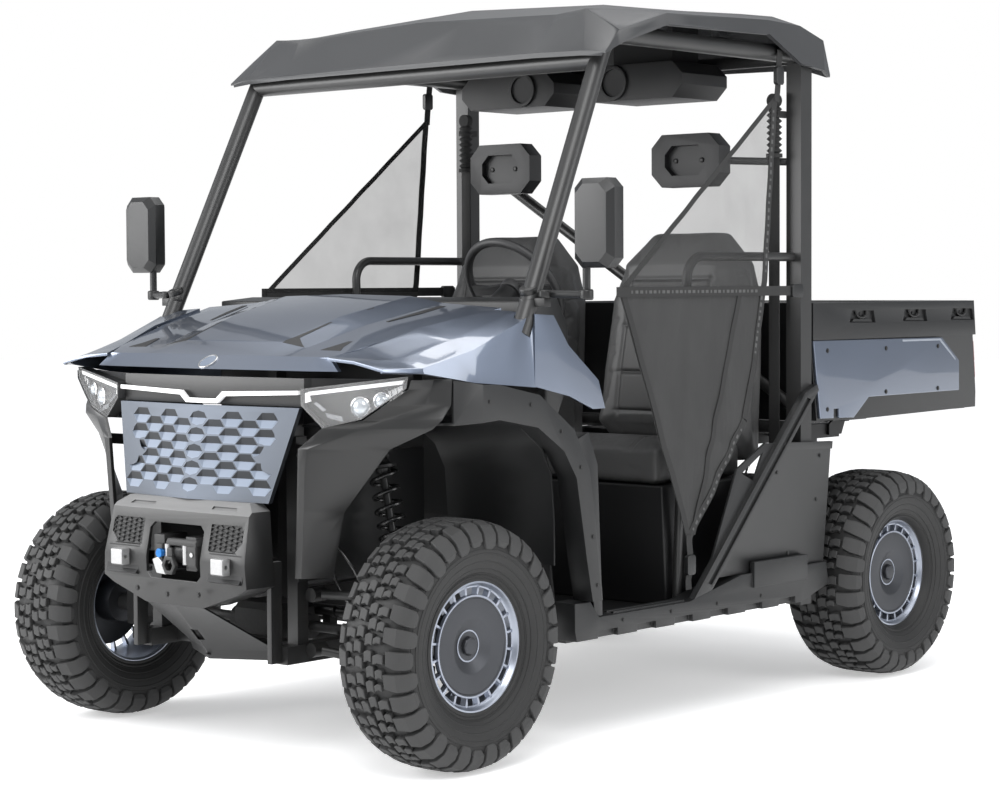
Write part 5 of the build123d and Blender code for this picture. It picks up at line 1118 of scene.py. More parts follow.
def hood_point(share, y, lift=0.0):
    """A point on the hood: 0 at the middle, 1 at the bulge, 2 at the valley, 3 at the seam."""
    for (y0, *first), (y1, *second) in zip(HOOD_ROWS, HOOD_ROWS[1:]):
        if y <= y1 or y1 == HOOD_ROWS[-1][0]:
            along = (y - y0) / (y1 - y0)
            ends = []
            for middle, *corners in (first, second):
                line = [(0.0, middle), *corners]
                index = min(int(share), 2)
                part = share - index
                ends.append([line[index][k] + (line[index + 1][k] - line[index][k]) * part for k in (0, 1)])
            x, z = [ends[0][k] + (ends[1][k] - ends[0][k]) * along for k in (0, 1)]
            return (x, y, z + lift)


def hood_shade_strip(form, rows, lift=0.0008, depth=0.004):
    """A narrow dark insert let into the hood, painted shade along a crease, through rows of y and two shares across.
    """
    loops = []
    for y, inner, outer in rows:
        low_in, low_out = hood_point(inner, y, lift - depth), hood_point(outer, y, lift - depth)
        loops.append([low_in, low_out, hood_point(outer, y, lift), hood_point(inner, y, lift)])
    form.loft(*loops)


PAINTED = [("hood", "hood", 0.0045), ("front_fenders", "chassis", 0.004), ("bed_side_panels", "bed", 0.003)]
MOULDED = [
    # node, body, edge rounding
    ("nose_fascia", "chassis", 0.0040), ("front_arches", "chassis", 0.0035), ("side_sills", "chassis", 0.0035),
    ("rear_side_panels", "chassis", 0.0035), ("bed_tub", "bed", 0.0035), ("tailgate", "tailgate", 0.0035),
    ("dash", "chassis", 0.0100), ("bumper", "chassis", 0.0040), ("skid_plate", "chassis", 0.0030),
]


class UTV_OT_panels(bpy.types.Operator):
    """Rounds the edges of the painted and moulded panels, and lets in dark strips of painted shade along the hood's
    creases
    """

    bl_idname = "utv.panels"
    bl_label = "Body panels"

    def execute(self, context):
        for node, body, width in PAINTED:
            softened(node, paint(), width, body, 3, 7.0)
        for node, body, width in MOULDED:
            maker = nose_charcoal if node in ("nose_fascia", "bumper") else charcoal
            softened(node, maker(), width, body)
        softened("roof", roof_plastic(), 0.006, segments=3, angle=10.0)
        # Near-black strips laid along the hood's creases: painted shade where the creases turn away from the light.
        crease_shade = Form()
        hood_shade_strip(crease_shade, [(-1.306, 1.02, 1.90), (-1.292, 1.00, 1.65), (-1.262, 1.04, 1.20)])
        hood_shade_strip(crease_shade, [(-1.262, 1.04, 1.20), (-1.150, 1.06, 1.13), (-0.990, 1.05, 1.09)])
        hood_shade_strip(crease_shade, [(-1.318, 2.36, 2.78), (-1.285, 2.40, 2.62), (-1.240, 2.44, 2.52)])
        hood_shade_strip(crease_shade, [(-1.060, 2.12, 2.16), (-0.960, 2.10, 2.22), (-0.880, 2.10, 2.20)])
        crease_shade.both_sides()
        add_piece("hood_slots", crease_shade.mesh("hood slots"), liner(), "hood")
        badge = Form()
        middle = Vector((0.0, -1.4012, 1.1025))
        facing = Vector((0.0, -0.568, 0.823))
        badge.turned([(-0.004, 0.0300), (0.0022, 0.0300), (0.0030, 0.0290), (0.0030, 0.0262), (0.0016, 0.0255),
                      (-0.004, 0.0255)], middle, facing, 48, closed=False)
        add_piece("round_badge_rim", badge.mesh("badge rim"), bright_metal(), "hood")
        # The badge face takes the grille finish, so its upward face is painted bright, a painted highlight.
        disc = Form()
        disc.turned([(-0.004, 0.0256), (0.0014, 0.0256), (0.0022, 0.0230), (0.0026, 0.0002)], middle, facing, 48)
        add_piece("round_badge_face", disc.mesh("badge face"), grille_paint(), "hood")
        return {"FINISHED"}


# ------------------------------------------------------------------ lamps
LAMP_EDGE = [
    # along the lamp from its inner end, height, and how far its face stands ahead
    (0.000, 0.990, 0.000), (0.000, 1.035, 0.000), (0.322, 1.072, 0.000), (0.316, 1.040, 0.000),
    (0.185, 0.956, 0.007), (0.0694, 0.930, 0.008),
]


def lamp_point(along, z, back, ahead=0.0):
    """A point in the left lamp: along its face, at a height, and behind the face."""
    x = 0.384 + 0.9505 * along - 0.3106 * (back - ahead)
    y = -1.412 + 0.3106 * along + 0.9505 * (back - ahead)
    return Vector((x, y, z))


def lamp_plate(form, edge, near, far):
    form.loft(*[[lamp_point(u, z, back, ahead) for u, z, ahead in edge] for back in (near, far)])


def shrunk(edge, amount):
    """The outline drawn in towards its middle."""
    middle_u = sum(row[0] for row in edge) / len(edge)
    middle_z = sum(row[1] for row in edge) / len(edge)
    return [(u + (middle_u - u) * amount, z + (middle_z - z) * amount, ahead) for u, z, ahead in edge]


class UTV_OT_lamps(bpy.types.Operator):
    """Makes the headlamps with projectors, chrome facets and clear covers, and the light bar"""

    bl_idname = "utv.lamps"
    bl_label = "Lamps"

    def execute(self, context):
        housing, cover, glow, chromes, lenses = Form(), Form(), Form(), Form(), Form()
        lamp_plate(housing, LAMP_EDGE, 0.026, 0.034)
        inner = shrunk(LAMP_EDGE, 0.05)
        front = [housing.bm.verts.new(lamp_point(u, z, 0.001, ahead)) for u, z, ahead in LAMP_EDGE]
        behind = [housing.bm.verts.new(lamp_point(u, z, 0.028, ahead)) for u, z, ahead in LAMP_EDGE]
        lip = [housing.bm.verts.new(lamp_point(u, z, 0.001, ahead)) for u, z, ahead in inner]
        floor = [housing.bm.verts.new(lamp_point(u, z, 0.028, ahead)) for u, z, ahead in inner]
        for first, second in ((front, behind), (behind, floor), (floor, lip), (lip, front)):
            housing.wall(first, second)
        lamp_plate(cover, LAMP_EDGE, -0.0008, 0.0008)
        glow_edge = [(0.020, 1.017, 0), (0.020, 1.027, 0), (0.306, 1.0615, 0), (0.300, 1.0505, 0)]
        lamp_plate(glow, glow_edge, 0.006, 0.014)
        lamp_plate(glow, [(0.010, 0.997, 0), (0.010, 1.024, 0), (0.019, 1.025, 0), (0.026, 1.001, 0)], 0.006, 0.014)
        facing = Vector((0.3106, -0.9505, 0.0))
        for u, z, radius in ((0.172, 0.986, 0.0255), (0.236, 1.004, 0.0205)):
            middle = lamp_point(u, z, 0.026)
            chromes.turned([(0.0, radius + 0.004), (0.010, radius + 0.0045), (0.012, radius + 0.001),
                (0.004, radius - 0.003)], middle, facing, 36, closed=False)
            dome = [(0.0, radius), (0.006, radius * 0.97)]
            dome += [(0.006 + 0.013 * math.sin(turn), radius * 0.97 * math.cos(turn))
                for turn in (0.4, 0.75, 1.1, 1.35, 1.55)]
            lenses.turned(dome, middle, facing, 36)
        for step in range(5):
            u = 0.262 + step * 0.0085
            z = 1.020 + step * 0.0035
            lamp_plate(chromes, [(u, z - 0.016, 0), (u - 0.004, z + 0.012, 0), (u + 0.004, z + 0.013, 0),
                (u + 0.007, z - 0.013, 0)], 0.010 + 0.002 * (step % 2), 0.024)
        lamp_plate(chromes, [(0.080, 0.958, 0.006), (0.072, 0.972, 0.005), (0.124, 0.962, 0.005),
            (0.128, 0.948, 0.007)], 0.008, 0.020)
        lamp_plate(chromes, [(0.066, 0.974, 0.004), (0.034, 0.996, 0.0), (0.044, 1.000, 0.0),
            (0.076, 0.980, 0.004)], 0.008, 0.020)
        for form in (housing, cover, glow, chromes, lenses):
            form.both_sides()
        shell = add_piece("headlamp_housings", housing.mesh("headlamp housings"), lamp_housing())
        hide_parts("headlamps")
        add_piece("headlamp_covers", cover.mesh("headlamp covers"), lamp_cover())
        add_piece("headlamp_chrome", chromes.mesh("headlamp chrome"), lamp_chrome())
        add_piece("headlamp_lenses", lenses.mesh("headlamp lenses"), projector())
        bar_line = [(0.0, 0.988), (0.0, 1.001), (0.0605, 1.001), (0.0855, 1.0215), (0.371, 1.0295), (0.371, 1.0185),
                    (0.0915, 1.0085), (0.0655, 0.988)]
        for quad in ((0, 1, 2, 7), (7, 2, 3, 6), (6, 3, 4, 5)):
            corners = [bar_line[index] for index in quad]
            loops = []
            for back in (0.0, 0.010):
                loops.append([(x, -1.4325 + 0.059 * x + back, z) for x, z in corners])
            glow.loft(*loops)
            glow.loft(*[[(-x, y, z) for x, y, z in loop] for loop in loops])
        add_piece("lamp_light_bars", glow.mesh("lamp light bars"), lamp_bar())
        softened("tail_lamps", red_lens(), 0.002, "bed")
        return {"FINISHED"}


# ------------------------------------------------------------------ bumper, winch and tow blocks
def plate_with_hole(form, outer, inner, axis, low, high):
    """A plate between two outlines with the same number of corners."""
    place = {"x": lambda u, v, w: (w, u, v), "y": lambda u, v, w: (u, w, v), "z": lambda u, v, w: (u, v, w)}[axis]
    rings = []
    for outline, w in ((outer, low), (outer, high), (inner, high), (inner, low)):
        rings.append([form.bm.verts.new(place(u, v, w)) for u, v in outline])
    for first, second in zip(rings, rings[1:] + rings[:1]):
        form.wall(first, second)


def ring_of(count, middle, radius, turn=0.0, squeeze=1.0):
    points = []
    for step in range(count):
        angle = turn + 2 * math.pi * step / count
        points.append((middle[0] + radius * math.cos(angle), middle[1] + radius * math.sin(angle) * squeeze))
    return points


def bumper_face(z):
    """The y of the bumper's front face at a height."""
    return -1.540 + 0.028 * (z - 0.560) / 0.130


class UTV_OT_bumper(bpy.types.Operator):
    """Makes the bumper's mesh inserts, tow blocks and the winch behind its window"""

    bl_idname = "utv.bumper_fittings"
    bl_label = "Bumper fittings"

    def execute(self, context):
        lattice, dark, tow, ledge = Form(), Form(), Form(), Form()
        insert = [(0.140, 0.590), (0.246, 0.590), (0.272, 0.618), (0.270, 0.652), (0.262, 0.662), (0.140, 0.662)]
        dark.loft(*[[(x, bumper_face(z) + back, z) for x, z in insert] for back in (0.0052, 0.0062)])
        for column in range(6):
            for row in range(6):
                x = 0.149 + column * 0.0215
                z = 0.5985 + row * 0.0125 + (0.00625 if column % 2 else 0.0)
                if z > 0.657 or x > 0.266 or (x > 0.246 and z < 0.606 + (x - 0.246)):
                    continue
                outer = ring_of(6, (x, z), 0.0148, squeeze=0.50)
                inside = ring_of(6, (x, z), 0.0112, squeeze=0.42)
                y = bumper_face(z) + 0.0045
                plate_with_hole(lattice, outer, inside, "y", y - 0.0030, y)
        opening = [(0.146, 0.508), (0.284, 0.512), (0.276, 0.585), (0.146, 0.585)]
        dark.loft(*[[(x, bumper_face(max(z, 0.560)) + (0.0 if z > 0.56 else 0.0001) - 0.0006 + back, z)
            for x, z in opening] for back in (0.0, 0.003)])
        ledge.prism([(-1.5490, 0.5075), (-1.5395, 0.5190), (-1.5370, 0.5190), (-1.5370, 0.5040)], "x", 0.150, 0.278)
        ledge.prism([(-1.5330, 0.5865), (-1.5365, 0.5900), (-1.5330, 0.5905)], "x", 0.146, 0.250)
        block_edge = [(-1.5672, 0.5450), (-1.5672, 0.5330), (-1.5640, 0.5290), (-1.5380, 0.5290), (-1.5380, 0.5752),
            (-1.5640, 0.5752), (-1.5672, 0.5720), (-1.5672, 0.5590)]
        hole = ring_of(8, (-1.5515, 0.552), 0.0062, radians(202.5))
        plate_with_hole(tow, block_edge, hole, "x", 0.1865, 0.2335)
        tow.rounded(0.0022, 2, 40.0)
        for form in (lattice, dark, tow, ledge):
            form.both_sides()
        add_piece("bumper_mesh", lattice.mesh("bumper mesh"), black_steel())
        add_piece("bumper_recesses", dark.mesh("bumper recesses"), liner())
        add_piece("bumper_ledges", ledge.mesh("bumper ledges"), charcoal())
        add_piece("tow_blocks", tow.mesh("tow blocks"), tow_metal())
        softened("winch", black_steel(), 0.003)
        plate = Form()
        plate.prism([(-1.5360, 0.6070), (-1.5320, 0.6140), (-1.5100, 0.6140), (-1.5100, 0.5980), (-1.5360, 0.5960)],
            "x", -0.030, 0.092)
        plate.prism([(-1.5375, 0.5960), (-1.5375, 0.5440), (-1.5280, 0.5300), (-1.5280, 0.6000)], "x", 0.056, 0.092)
        plate.prism([(-1.5375, 0.5960), (-1.5375, 0.5440), (-1.5280, 0.5300), (-1.5280, 0.6000)], "x", -0.072, -0.048)
        plate.rounded(0.0025, 2)
        add_piece("winch_fairlead", plate.mesh("winch fairlead"), casting())
        hook = Form()
        plate_with_hole(hook, ring_of(6, (-0.003, 0.541), 0.0290), ring_of(6, (-0.003, 0.541), 0.0165), "y",
            -1.5545, -1.5405)
        hook.prism([(-0.012, 0.566), (0.012, 0.566), (0.010, 0.590), (-0.010, 0.590)], "y", -1.5520, -1.5400)
        hook.rounded(0.0028, 2)
        add_piece("winch_hook", hook.mesh("winch hook"), black_steel())
        rollers = Form()
        for x in (-0.034, 0.040):
            rollers.turned([(0.0, 0.008), (0.001, 0.0095), (0.054, 0.0095), (0.055, 0.008)], (x, -1.527, 0.543),
                (0, 0, 1), 20)
        rollers.turned([(0.0, 0.009), (0.074, 0.009)], (-0.034, -1.523, 0.602), (1, 0, 0), 20)
        rollers.turned([(0.0, 0.0045), (0.0015, 0.0070), (0.0045, 0.0070)], (0.078, -1.5365, 0.574), (0, -1, 0), 6)
        add_piece("winch_rollers", rollers.mesh("winch rollers"), bright_metal())
        pin = Form()
        pin.turned([(0.0, 0.0120), (0.012, 0.0130), (0.014, 0.0110), (0.014, 0.0050)], (-0.051, -1.5345, 0.572),
            (0, -1, 0), 24)
        pin.rounded(0.001, 2)
        add_piece("winch_pin", pin.mesh("winch pin"), blue_pin())
        wedge = Form()
        wedge.prism([(-0.088, 0.552), (-0.062, 0.560), (-0.034, 0.536), (-0.030, 0.512), (-0.070, 0.514)], "y",
            -1.5400, -1.5260)
        wedge.rounded(0.003, 2)
        add_piece("winch_wedge", wedge.mesh("winch wedge"), tow_metal())
        return {"FINISHED"}


# ------------------------------------------------------------------ seats
def cloth_swollen(mesh, voxel, pressure, cap):
    """Blows a closed pad up a little under cloth simulation, no point moving past the cap."""
    scene = bpy.context.scene
    pad = bpy.data.objects.new("pad", mesh)
    scene.collection.objects.link(pad)
    remesh = pad.modifiers.new("even mesh", "REMESH")
    remesh.mode = "VOXEL"
    remesh.voxel_size = voxel
    graph = bpy.context.evaluated_depsgraph_get()
    even = bpy.data.meshes.new_from_object(pad.evaluated_get(graph))
    pad.modifiers.clear()
    pad.data = even
    start = [vert.co.copy() for vert in even.vertices]
    cloth = pad.modifiers.new("swell", "CLOTH")
    cloth.settings.quality = 4
    cloth.settings.mass = 0.25
    cloth.settings.use_pressure = True
    cloth.settings.uniform_pressure_force = pressure
    cloth.settings.tension_stiffness = 12.0
    cloth.settings.compression_stiffness = 12.0
    cloth.settings.shear_stiffness = 6.0
    cloth.settings.bending_stiffness = 0.6
    cloth.settings.effector_weights.gravity = 0.0
    cloth.collision_settings.use_collision = False
    for step in range(1, CLOTH_STEPS + 1):
        scene.frame_set(step)
    graph = bpy.context.evaluated_depsgraph_get()
    result = bpy.data.meshes.new_from_object(pad.evaluated_get(graph))
    for vert, first in zip(result.vertices, start):
        shift = vert.co - first
        if shift.length > cap:
            vert.co = first + shift.normalized() * cap
    scene.frame_set(1)
    pad.modifiers.clear()
    bpy.data.objects.remove(pad)
    return result


SEAT_MIDDLE_X = 0.365
BACK_CHAMFER = 0.030
BACK_ROWS = [
    # height, front and rear y, half width
    (0.745, 0.306, 0.394, 0.262),
    (0.862, 0.174, 0.398, 0.262),
    (1.040, 0.200, 0.410, 0.262),
    (1.262, 0.246, 0.422, 0.258),
    (1.384, 0.272, 0.424, 0.222),
    (1.484, 0.318, 0.412, 0.136),
]
PAD_MESH_SIZE = 0.006
PAD_SWELL_LIMIT = 0.008
PAD_TRIANGLES_KEPT = 0.38
CLOTH_STEPS = 20


def channel(distance, width, depth):
    """How deep a sewn channel presses in at a distance from its line."""
    return depth * math.exp(-((distance / width) ** 2))


def cushion_start():
    form = Form()
    form.prism([(-0.155, 0.707), (0.292, 0.707), (0.292, 0.812), (-0.072, 0.838), (-0.155, 0.812)], "x", 0.105, 0.625)
    form.rounded(0.028, 4, 20.0)
    return form.mesh("cushion start", 60.0)


def back_start():
    form = Form()
    loops = []
    for z, front, rear, half in BACK_ROWS:
        left, right = SEAT_MIDDLE_X - half, SEAT_MIDDLE_X + half
        loops.append([
            (left, rear, z), (left, front + BACK_CHAMFER, z), (left + BACK_CHAMFER, front, z),
            (right - BACK_CHAMFER, front, z), (right, front + BACK_CHAMFER, z), (right, rear, z),
        ])
    form.loft(*loops)
    form.rounded(0.018, 3, 24.0)
    return form.mesh("back start", 60.0)


def sewn(mesh, lines, top_only):
    """Presses sewn channels into a pad: each line is an axis, a place, a reach, a width and a depth."""
    facing = [vert.normal.copy() for vert in mesh.vertices]
    for vert, normal in zip(mesh.vertices, facing):
        co = vert.co.copy()
        for axis, at, low, high, width, depth in lines:
            other = co.z if (axis == "x" and not top_only) else (co.y if axis == "x" else co.x)
            distance = (co.x if axis == "x" else (co.y if top_only else co.z)) - at
            if not low - 0.02 < other < high + 0.02:
                continue
            fade = min(1.0, max(0.0, (other - low + 0.02) / 0.02), max(0.0, (high + 0.02 - other) / 0.02))
            press = channel(distance, width, depth) * fade
            if top_only:
                if normal.z > 0.5:
                    co.z -= press
            elif normal.y < -0.5:
                co.y += press
        vert.co = co


CUSHION_LINES = [
    # axis, place along it, reach from and to along the line, width and depth
    ("x", 0.215, -0.14, 0.28, 0.0045, 0.0065),
    ("x", 0.515, -0.14, 0.28, 0.0045, 0.0065),
    ("y", -0.060, 0.215, 0.515, 0.0045, 0.0055),
    ("y", 0.060, 0.215, 0.515, 0.0045, 0.0050),
    ("y", 0.180, 0.215, 0.515, 0.0045, 0.0050),
]
BACK_LINES = [
    ("x", 0.205, 0.90, 1.330, 0.0050, 0.0070),
    ("x", 0.525, 0.90, 1.330, 0.0050, 0.0070),
    ("z", 1.330, 0.205, 0.525, 0.0050, 0.0065),
    ("z", 1.180, 0.205, 0.525, 0.0050, 0.0060),
    ("z", 1.030, 0.205, 0.525, 0.0050, 0.0060),
    ("z", 0.905, 0.205, 0.525, 0.0050, 0.0060),
]


def mirrored_mesh(mesh):
    other = mesh.copy()
    other.transform(Matrix.Scale(-1.0, 4, (1, 0, 0)))
    other.flip_normals()
    return other


class UTV_OT_seats(bpy.types.Operator):
    """Makes the seat cushions and backs as swollen, sewn pads"""

    bl_idname = "utv.seats"
    bl_label = "Seats"

    def execute(self, context):
        sizes = context.scene.utv_sizes
        for node, start, lines, top_only in (("seat_cushions", cushion_start(), CUSHION_LINES, True),
                                             ("seat_backs", back_start(), BACK_LINES, False)):
            mesh = cloth_swollen(start, PAD_MESH_SIZE, sizes.pad_pressure, PAD_SWELL_LIMIT)
            sewn(mesh, lines, top_only)
            other = mirrored_mesh(mesh)
            for half, word in ((mesh, "left"), (other, "right")):
                half.shade_smooth()
                piece = add_piece(node + "_pad_" + word, half, vinyl())
                smooth = piece.modifiers.new("soften", "SUBSURF")
                smooth.levels = 1
                smooth.render_levels = 1
                piece.modifiers.new("lighten", "DECIMATE").ratio = PAD_TRIANGLES_KEPT
                graph = bpy.context.evaluated_depsgraph_get()
                done = bpy.data.meshes.new_from_object(piece.evaluated_get(graph))
                piece.modifiers.clear()
                piece.data = done
                done.materials.clear()
                done.materials.append(vinyl())
                done.shade_smooth()
                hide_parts(node)
        return {"FINISHED"}


# ------------------------------------------------------------------ cab fittings
class UTV_OT_cab(bpy.types.Operator):
    """Makes the headrests, pods, mirrors, steering wheel and belts"""

    bl_idname = "utv.cab"
    bl_label = "Cab fittings"

    def execute(self, context):
        rests = softened("headrests", padding(), 0.010, segments=3, angle=20.0)
        softened("overhead_pods", liner(), 0.006, segments=3)
        softened("mirrors", charcoal(), 0.007, segments=3, angle=20.0)
        softened("seat_base", liner(), 0.006)
        glass = Form()
        outline = [(0.945 + x, 1.480 + z)
            for x, z in ((-0.034, -0.107), (0.034, -0.107), (0.055, -0.086),
                (0.055, 0.086), (0.034, 0.107), (-0.034, 0.107), (-0.055, 0.086), (-0.055, -0.086))]
        glass.prism(outline, "y", -0.8015, -0.7990)
        glass.both_sides()
        add_piece("mirror_glasses", glass.mesh("mirror glasses"), mirror_glass())
        clamps = Form()
        for turn, z in ((0.0, 1.288), (0.0, 1.262)):
            clamps.turned([(0.0, 0.024), (0.004, 0.026), (0.016, 0.026), (0.020, 0.024)], (0.736, -0.874, z),
                (0.10, -0.35, 0.93), 24)
        clamps.block((0.744, 0.800), (-0.884, -0.856), (1.252, 1.276))
        clamps.turned([(0.0, 0.014), (0.004, 0.017), (0.018, 0.017), (0.022, 0.014)], (0.790, -0.872, 1.276),
            (0, 0, 1), 8)
        clamps.turned([(0.0, 0.016), (0.004, 0.019), (0.026, 0.019), (0.030, 0.016)], (0.905, -0.829, 1.270),
            (0, 0, 1), 18)
        clamps.rounded(0.002, 2)
        clamps.both_sides()
        add_piece("mirror_clamps", clamps.mesh("mirror clamps"), black_steel())
        wheel = Form()
        centre = Vector((0.330, -0.470, 1.300))
        axis = Vector((0.0, math.cos(radians(33)), math.sin(radians(33))))
        ring = [(0.0135 * math.sin(turn),
            0.1665 + 0.0135 * math.cos(turn)) for turn in [2 * math.pi * k / 14 for k in range(14)]]
        wheel.turned(ring, centre, axis, 72, closed=False)
        across = Vector((1, 0, 0))
        upward = axis.cross(across)
        for direction in (across, -across, upward if upward.z < 0 else -upward):
            side = axis.cross(direction)
            loops = []
            for reach, half, thick in ((0.028, 0.024, 0.006), (0.090, 0.014, 0.005), (0.158, 0.020, 0.005)):
                middle = centre + direction * reach - axis * 0.006
                loops.append([tuple(middle + side * (half * a) + axis * (thick * b))
                    for a, b in ((-1, -1), (1, -1), (1, 1), (-1, 1))])
            wheel.loft(*loops)
        wheel.turned([(-0.065, 0.010), (-0.026, 0.010), (-0.025, 0.038), (-0.004, 0.042), (0.000, 0.038),
            (0.001, 0.012)], centre, axis, 40)
        wheel.rounded(0.0015, 2, 40.0)
        piece = add_piece("steering_wheel_rim", wheel.mesh("steering wheel", 50.0), padding(), "steering_wheel")
        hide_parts("steering_wheel")
        softened("belts", webbing(), 0.0015, segments=1, angle=40.0)
        caps = Form()
        for x in (0.345, 0.449):
            caps.turned([(0.0, 0.0085), (0.003, 0.0085), (0.004, 0.007)], (x, 0.3118, 1.710), (0, -1, 0), 12)
        caps.both_sides()
        add_piece("headrest_bolts", caps.mesh("headrest bolts"), black_steel())
        return {"FINISHED"}


# ------------------------------------------------------------------ cargo bed
class UTV_OT_bed(bpy.types.Operator):
    """Makes the bed's tie-down hooks, side strip and the tailgate's ribs"""

    bl_idname = "utv.bed_fittings"
    bl_label = "Bed fittings"

    def execute(self, context):
        hooks, strip, ribs = Form(), Form(), Form()
        for y in (0.805, 1.130, 1.440):
            hooks.prism([(y - 0.060, 1.1868), (y + 0.060, 1.1852), (y + 0.050, 1.194), (y - 0.050, 1.1955)], "x",
                0.7268, 0.7380)
            hooks.tube([(0.7300, y - 0.030, 1.2215), (0.7345, y - 0.026, 1.206), (0.7345, y - 0.010, 1.199),
                (0.7345, y + 0.010, 1.199), (0.7345, y + 0.026, 1.206), (0.7300, y + 0.030, 1.2215)], 0.0042, 10)
            hooks.turned([(0.0, 0.0065), (0.004, 0.0055)], (0.7262, y, 1.2105), (1, 0, 0), 6)
        strip.prism([(1.052, 1.1215), (1.296, 1.1205), (1.3955, 1.0500), (1.3955, 1.0430), (1.290, 1.1140),
            (1.052, 1.1150)], "x", 0.7378, 0.7388)
        for x in (-0.50, -0.25, 0.0, 0.25, 0.50):
            ribs.prism([(x - 0.030, 0.930), (x + 0.030, 0.930), (x + 0.026, 1.110), (x - 0.026, 1.110)], "y",
                1.5490, 1.5535)
        ribs.rounded(0.0015, 2)
        for form in (hooks, strip):
            form.both_sides()
        add_piece("bed_hooks", hooks.mesh("bed hooks"), black_steel(), "bed")
        add_piece("bed_side_strips", strip.mesh("bed side strips"), pale_strip(), "bed")
        add_piece("tailgate_ribs", ribs.mesh("tailgate ribs"), charcoal(), "tailgate")
        floor_ribs = Form()
        for index in range(11):
            x = -0.60 + index * 0.12
            floor_ribs.prism([(x - 0.016, 0.8800), (x + 0.016, 0.8800), (x + 0.012, 0.8840), (x - 0.012, 0.8840)],
                "y", 0.570, 1.500)
        floor_ribs.rounded(0.001, 1)
        add_piece("bed_floor_ribs", floor_ribs.mesh("bed floor ribs"), charcoal(), "bed")
        rows = []
        for y in (0.60, 0.95, 1.28):
            for z in (0.905, 1.095):
                raised = 0.045 if z < 1.0 and y > 0.8 else 0.0
                rows.append(((0.7380, y, z + raised), (1.0, 0.0, 0.0)))
        rows += [((-x, y, z), (-1.0, 0.0, 0.0)) for (x, y, z), _ in rows]
        bolts("bed_bolts", rows, 0.0055, 0.0030, black_steel(), "bed")
        return {"FINISHED"}


# ------------------------------------------------------------------ fasteners and hoses
HOSE_RADIUS = 0.0045
HOSE_ROUTES = [
    # points of the left front hoses, from the frame to the knuckle
    [
        (0.325, -1.290, 0.640), (0.380, -1.280, 0.600), (0.430, -1.265, 0.540),
        (0.448, -1.235, 0.470), (0.455, -1.195, 0.420), (0.470, -1.160, 0.390),
    ],
    [
        (0.322, -1.240, 0.560), (0.360, -1.262, 0.500), (0.410, -1.262, 0.440),
        (0.450, -1.230, 0.400), (0.475, -1.180, 0.385),
    ],
]
PANEL_CLIPS = [
    # how far out the panel's face is, then y and z of its clips
    (0.7902, [(-1.100, 1.000), (-0.930, 0.985), (-0.800, 0.905), (-0.716, 0.800), (-0.664, 0.600), (-0.644, 0.460)]),
    (0.7485, [(0.02, 0.46), (0.36, 0.46), (0.52, 0.62), (0.30, 0.72), (0.54, 0.76)]),
    (0.7602, [(-0.49, 0.342), (-0.26, 0.342), (-0.03, 0.342), (0.20, 0.342)]),
    (0.7562, [(-0.640 + (z - 0.62) * -0.16, z) for z in (0.46, 0.62, 0.78)]),
]


def curve_through(route, steps):
    """Points of a smooth curve through a route, a few to each stretch."""
    points = []
    for index in range(len(route) - 1):
        before = Vector(route[max(index - 1, 0)])
        first, second = Vector(route[index]), Vector(route[index + 1])
        after = Vector(route[min(index + 2, len(route) - 1)])
        for step in range(steps):
            t = step / steps
            straight = 2 * first + (second - before) * t
            bend = (2 * before - 5 * first + 4 * second - after) * t * t
            points.append(0.5 * (straight + bend + (3 * first - before - 3 * second + after) * t ** 3))
    points.append(Vector(route[-1]))
    return points


class UTV_OT_fasteners(bpy.types.Operator):
    """Sets the bolt heads and clips on the panels, and runs the short hoses at the front"""

    bl_idname = "utv.fasteners"
    bl_label = "Fasteners"

    def execute(self, context):
        left = [((x, y, z), (1.0, 0.0, 0.0)) for x, places in PANEL_CLIPS for y, z in places]
        rows = left + [((-x, y, z), (-1.0, 0.0, 0.0)) for (x, y, z), _ in left]
        bolts("panel_clips", rows, 0.0050, 0.0026, black_steel())
        front = []
        for x, z in ((0.128, 0.470), (-0.128, 0.470), (0.0, 0.462)):
            front.append(((x, bumper_face(z) - 0.0002, z), (0.0, -1.0, 0.0)))
        front.append(((0.0, -1.4110, 0.2775), (0.0, 0.0, -1.0)))
        bolts("bumper_bolts", front, 0.0060, 0.0035, black_steel())
        hoses = Form()
        for route in HOSE_ROUTES:
            hoses.tube(curve_through(route, 6), HOSE_RADIUS, 8)
        hoses.both_sides()
        add_piece("front_hoses", hoses.mesh("front hoses", 60.0), coil_black())
        return {"FINISHED"}


# ------------------------------------------------------------------ finishes and studio
class UTV_OT_finishes(bpy.types.Operator):
    """Gives each carried-over solid its finish"""

    bl_idname = "utv.finishes"
    bl_label = "Finishes"

    def execute(self, context):
        for maker, nodes in NODE_FINISHES.values():
            for node in nodes:
                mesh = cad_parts[node].data
                mesh.materials.clear()
                mesh.materials.append(maker())
        return {"FINISHED"}


